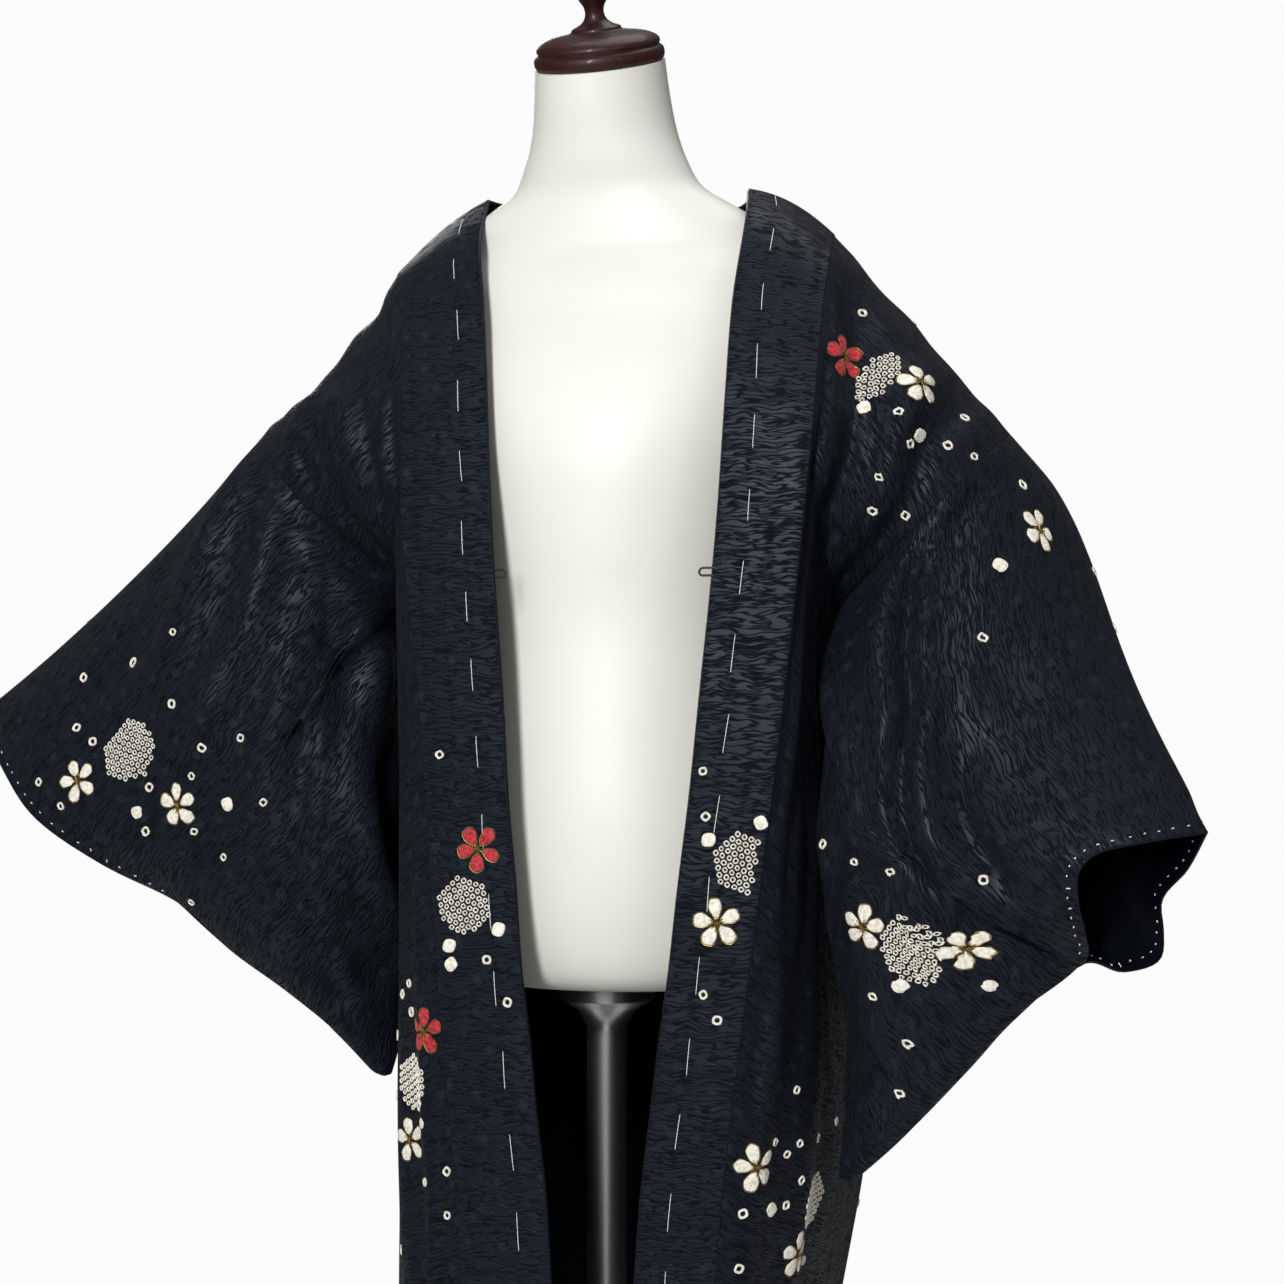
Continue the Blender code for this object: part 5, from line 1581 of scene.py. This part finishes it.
COTTON_WHITE = "E4E5E2"
BASTING_FROM_EDGE = 0.0195
BASTING_STITCH = 0.030
BASTING_LONGER = (0.90, 1.10)   # a stitch is this much shorter or longer
BASTING_GAP = 0.020
BASTING_FURTHER = (0.85, 1.15)  # and a gap this much
BASTING_END = 1.00      # the basting runs up to this far along the collar from the centre back
BASTING_RADIUS = 0.00024
BASTING_POINTS = 8
CUFF_STITCH = 0.0022
CUFF_PITCH = 0.0110
CUFF_FROM_EDGE = 0.0065
CUFF_RADIUS = 0.00042
CUFF_POINTS = 4
CUFF_SLANT = 0.0004     # a cuff stitch slants by up to this much
CUFF_END = 0.21         # the stitches stop just above the cuff's closed end
STRAY = 0.0012          # a stitch lies up to this far off its line or its place
THREAD_SIDES = 6
THREAD_SUNK = 2.4       # a stitch's ends lie this many thread radii under the cloth's face
THREAD_PROUD = 0.8      # and its middle this many above it
THREAD_BEND = 0.25      # share of a stitch in which it comes up, and in which it goes down


def basting_cotton():
    """Soft spun white cotton thread: matt, with the faint bloom of its loose fibres."""
    look = start_look(bpy.data.materials.new("white_spun_cotton_thread"))
    return close_material(look, {
        "Base Color": linear(COTTON_WHITE), "Roughness": 0.85, "Specular IOR Level": 0.2,
        "Sheen Weight": 0.2,
    })


def stitch(relief, start, end, radius, points, inside=False):
    """A thread that comes up through the cloth at one place in the flat cut and goes down at another."""
    share = np.linspace(0.0, 1.0, points)
    flat = np.outer(1 - share, start) + np.outer(share, end)
    out = np.minimum(1.0, np.minimum(share, 1 - share) / THREAD_BEND)
    heights = radius * ((THREAD_SUNK + THREAD_PROUD) * out - THREAD_SUNK)
    path = relief.cloth.place(flat[:, 0], flat[:, 1], heights, inside)
    relief.keep(*tube(path, radius, THREAD_SIDES))


cotton = basting_cotton()
chance = random.Random("basting")
basting = Relief(collar)
down = -BASTING_END
while down < BASTING_END:
    length = BASTING_STITCH * chance.uniform(*BASTING_LONGER)
    start, end = (BASTING_FROM_EDGE + chance.uniform(-1, 1) * STRAY for _ in range(2))
    stitch(basting, (start, down), (end, down + length), BASTING_RADIUS, BASTING_POINTS)
    down += length + BASTING_GAP * chance.uniform(*BASTING_FURTHER)
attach(basting.mesh("basting_eri", cotton), "root")

for side, sleeve in sleeves.items():
    hem = Relief(sleeve)
    most = int(CUFF_END / CUFF_PITCH)
    for number in range(-most, most + 1):
        down = number * CUFF_PITCH
        row = int(np.interp(down, sleeve.downs, np.arange(len(sleeve.downs))))
        place = sleeve.across[row].max() - CUFF_FROM_EDGE
        for inside in (False, True):
            shift = chance.uniform(-1, 1) * STRAY
            slant = chance.uniform(-1, 1) * CUFF_SLANT
            stitch(hem, (place, down + shift), (place + slant, down + shift + CUFF_STITCH),
                   CUFF_RADIUS, CUFF_POINTS, inside)
    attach(hem.mesh(f"cuff_stitches_{side}", cotton), "root")


# ======================================================================== floor, light, camera
# A round matt white floor, soft studio light, and the camera level with the chest, 17.5 degrees
# round to the wearer's left. It shows the form's cap at the top and leaves the hem out.

FLOOR_RADIUS = 1.4
FLOOR_SIDES = 96
FLOOR_WHITE = "F2F2F0"
STUDIO_WHITE = "FFFFFF"
STUDIO_STRENGTH = 0.97  # of the plain white surroundings as the camera sees them
FRONT_STRENGTH = 0.26   # of the light that they give from the front
BACK_STRENGTH = 0.10    # and from the back
VIEW_ANGLE = math.radians(17.5)
VIEW_DISTANCE = 1.75
VIEW_HEIGHT = 1.04
VIEW_ASIDE = 0.0246     # how far the render's middle lies to the right of the form's axis
SENSOR = 36.0           # millimetres
RENDER_SIZE = 1284      # pixels
FOCAL_PIXELS = 2484     # focal length in pixels of the render

Lamp = namedtuple("Lamp", "name place target width height power")
LAMPS = table(Lamp,
    ("key_softbox", (0.0, -2.5, 1.95), (0.0, 0.0, 1.05), 0.30, 1.5, 60.0),
    ("side_softbox", (2.0, -1.7, 1.9), (0.1, 0.0, 1.0), 0.4, 0.9, 3.0),
    ("top_softbox", (0.2, 0.3, 3.2), (0.0, 0.0, 1.1), 1.6, 1.6, 18.0),
    ("back_softbox", (-1.2, 2.6, 2.2), (0.0, 0.0, 1.0), 1.2, 1.2, 30.0),
)


def matt_floor():
    """Painted floor, matt and nearly white."""
    look = start_look(bpy.data.materials.new("matt_white_painted_floor"))
    return close_material(look, {"Base Color": linear(FLOOR_WHITE), "Roughness": 0.9})


def aim(thing, target):
    direction = Vector(target) - thing.location
    thing.rotation_euler = direction.to_track_quat("-Z", "Y").to_euler()


rim = [(FLOOR_RADIUS * math.cos(turn), FLOOR_RADIUS * math.sin(turn), 0)
       for turn in turns(FLOOR_SIDES)]
floor = add_mesh("floor", rim, [tuple(range(FLOOR_SIDES))], matt_floor())

world = start_look(bpy.data.worlds.new("studio"))
seen = add_node(world, "LightPath")
direction = add_node(world, "TexCoord").outputs["Generated"]
backwards = add_node(world, "SeparateXYZ", {"Vector": direction}).outputs["Y"]
strength = add_node(world, "MapRange", {"Value": backwards, "From Min": -1.0,
                                        "To Min": FRONT_STRENGTH, "To Max": BACK_STRENGTH})
white = linear(STUDIO_WHITE)
soft = add_node(world, "Background", {"Color": white, "Strength": strength})
plain = add_node(world, "Background", {"Color": white, "Strength": STUDIO_STRENGTH})
either = add_node(world, "MixShader", {0: seen.outputs["Is Camera Ray"], 1: soft, 2: plain})
add_node(world, "OutputWorld", {"Surface": either})
scene.world = world
scene.view_settings.view_transform = "Standard"

for lamp in LAMPS:
    light = bpy.data.lights.new(lamp.name, "AREA")
    light.shape = "RECTANGLE"
    light.size, light.size_y, light.energy = lamp.width, lamp.height, lamp.power
    fixture = bpy.data.objects.new(lamp.name, light)
    fixture.location = lamp.place
    aim(fixture, lamp.target)
    scene.collection.objects.link(fixture)

lens = bpy.data.cameras.new("camera")
lens.sensor_width = SENSOR
lens.lens = SENSOR * FOCAL_PIXELS / RENDER_SIZE
camera = bpy.data.objects.new("camera", lens)
middle = Vector((VIEW_ASIDE * math.cos(VIEW_ANGLE), VIEW_ASIDE * math.sin(VIEW_ANGLE), VIEW_HEIGHT))
camera.location = middle + VIEW_DISTANCE * Vector((math.sin(VIEW_ANGLE), -math.cos(VIEW_ANGLE), 0))
aim(camera, middle)
scene.collection.objects.link(camera)
scene.camera = camera

bpy.context.view_layer.update()
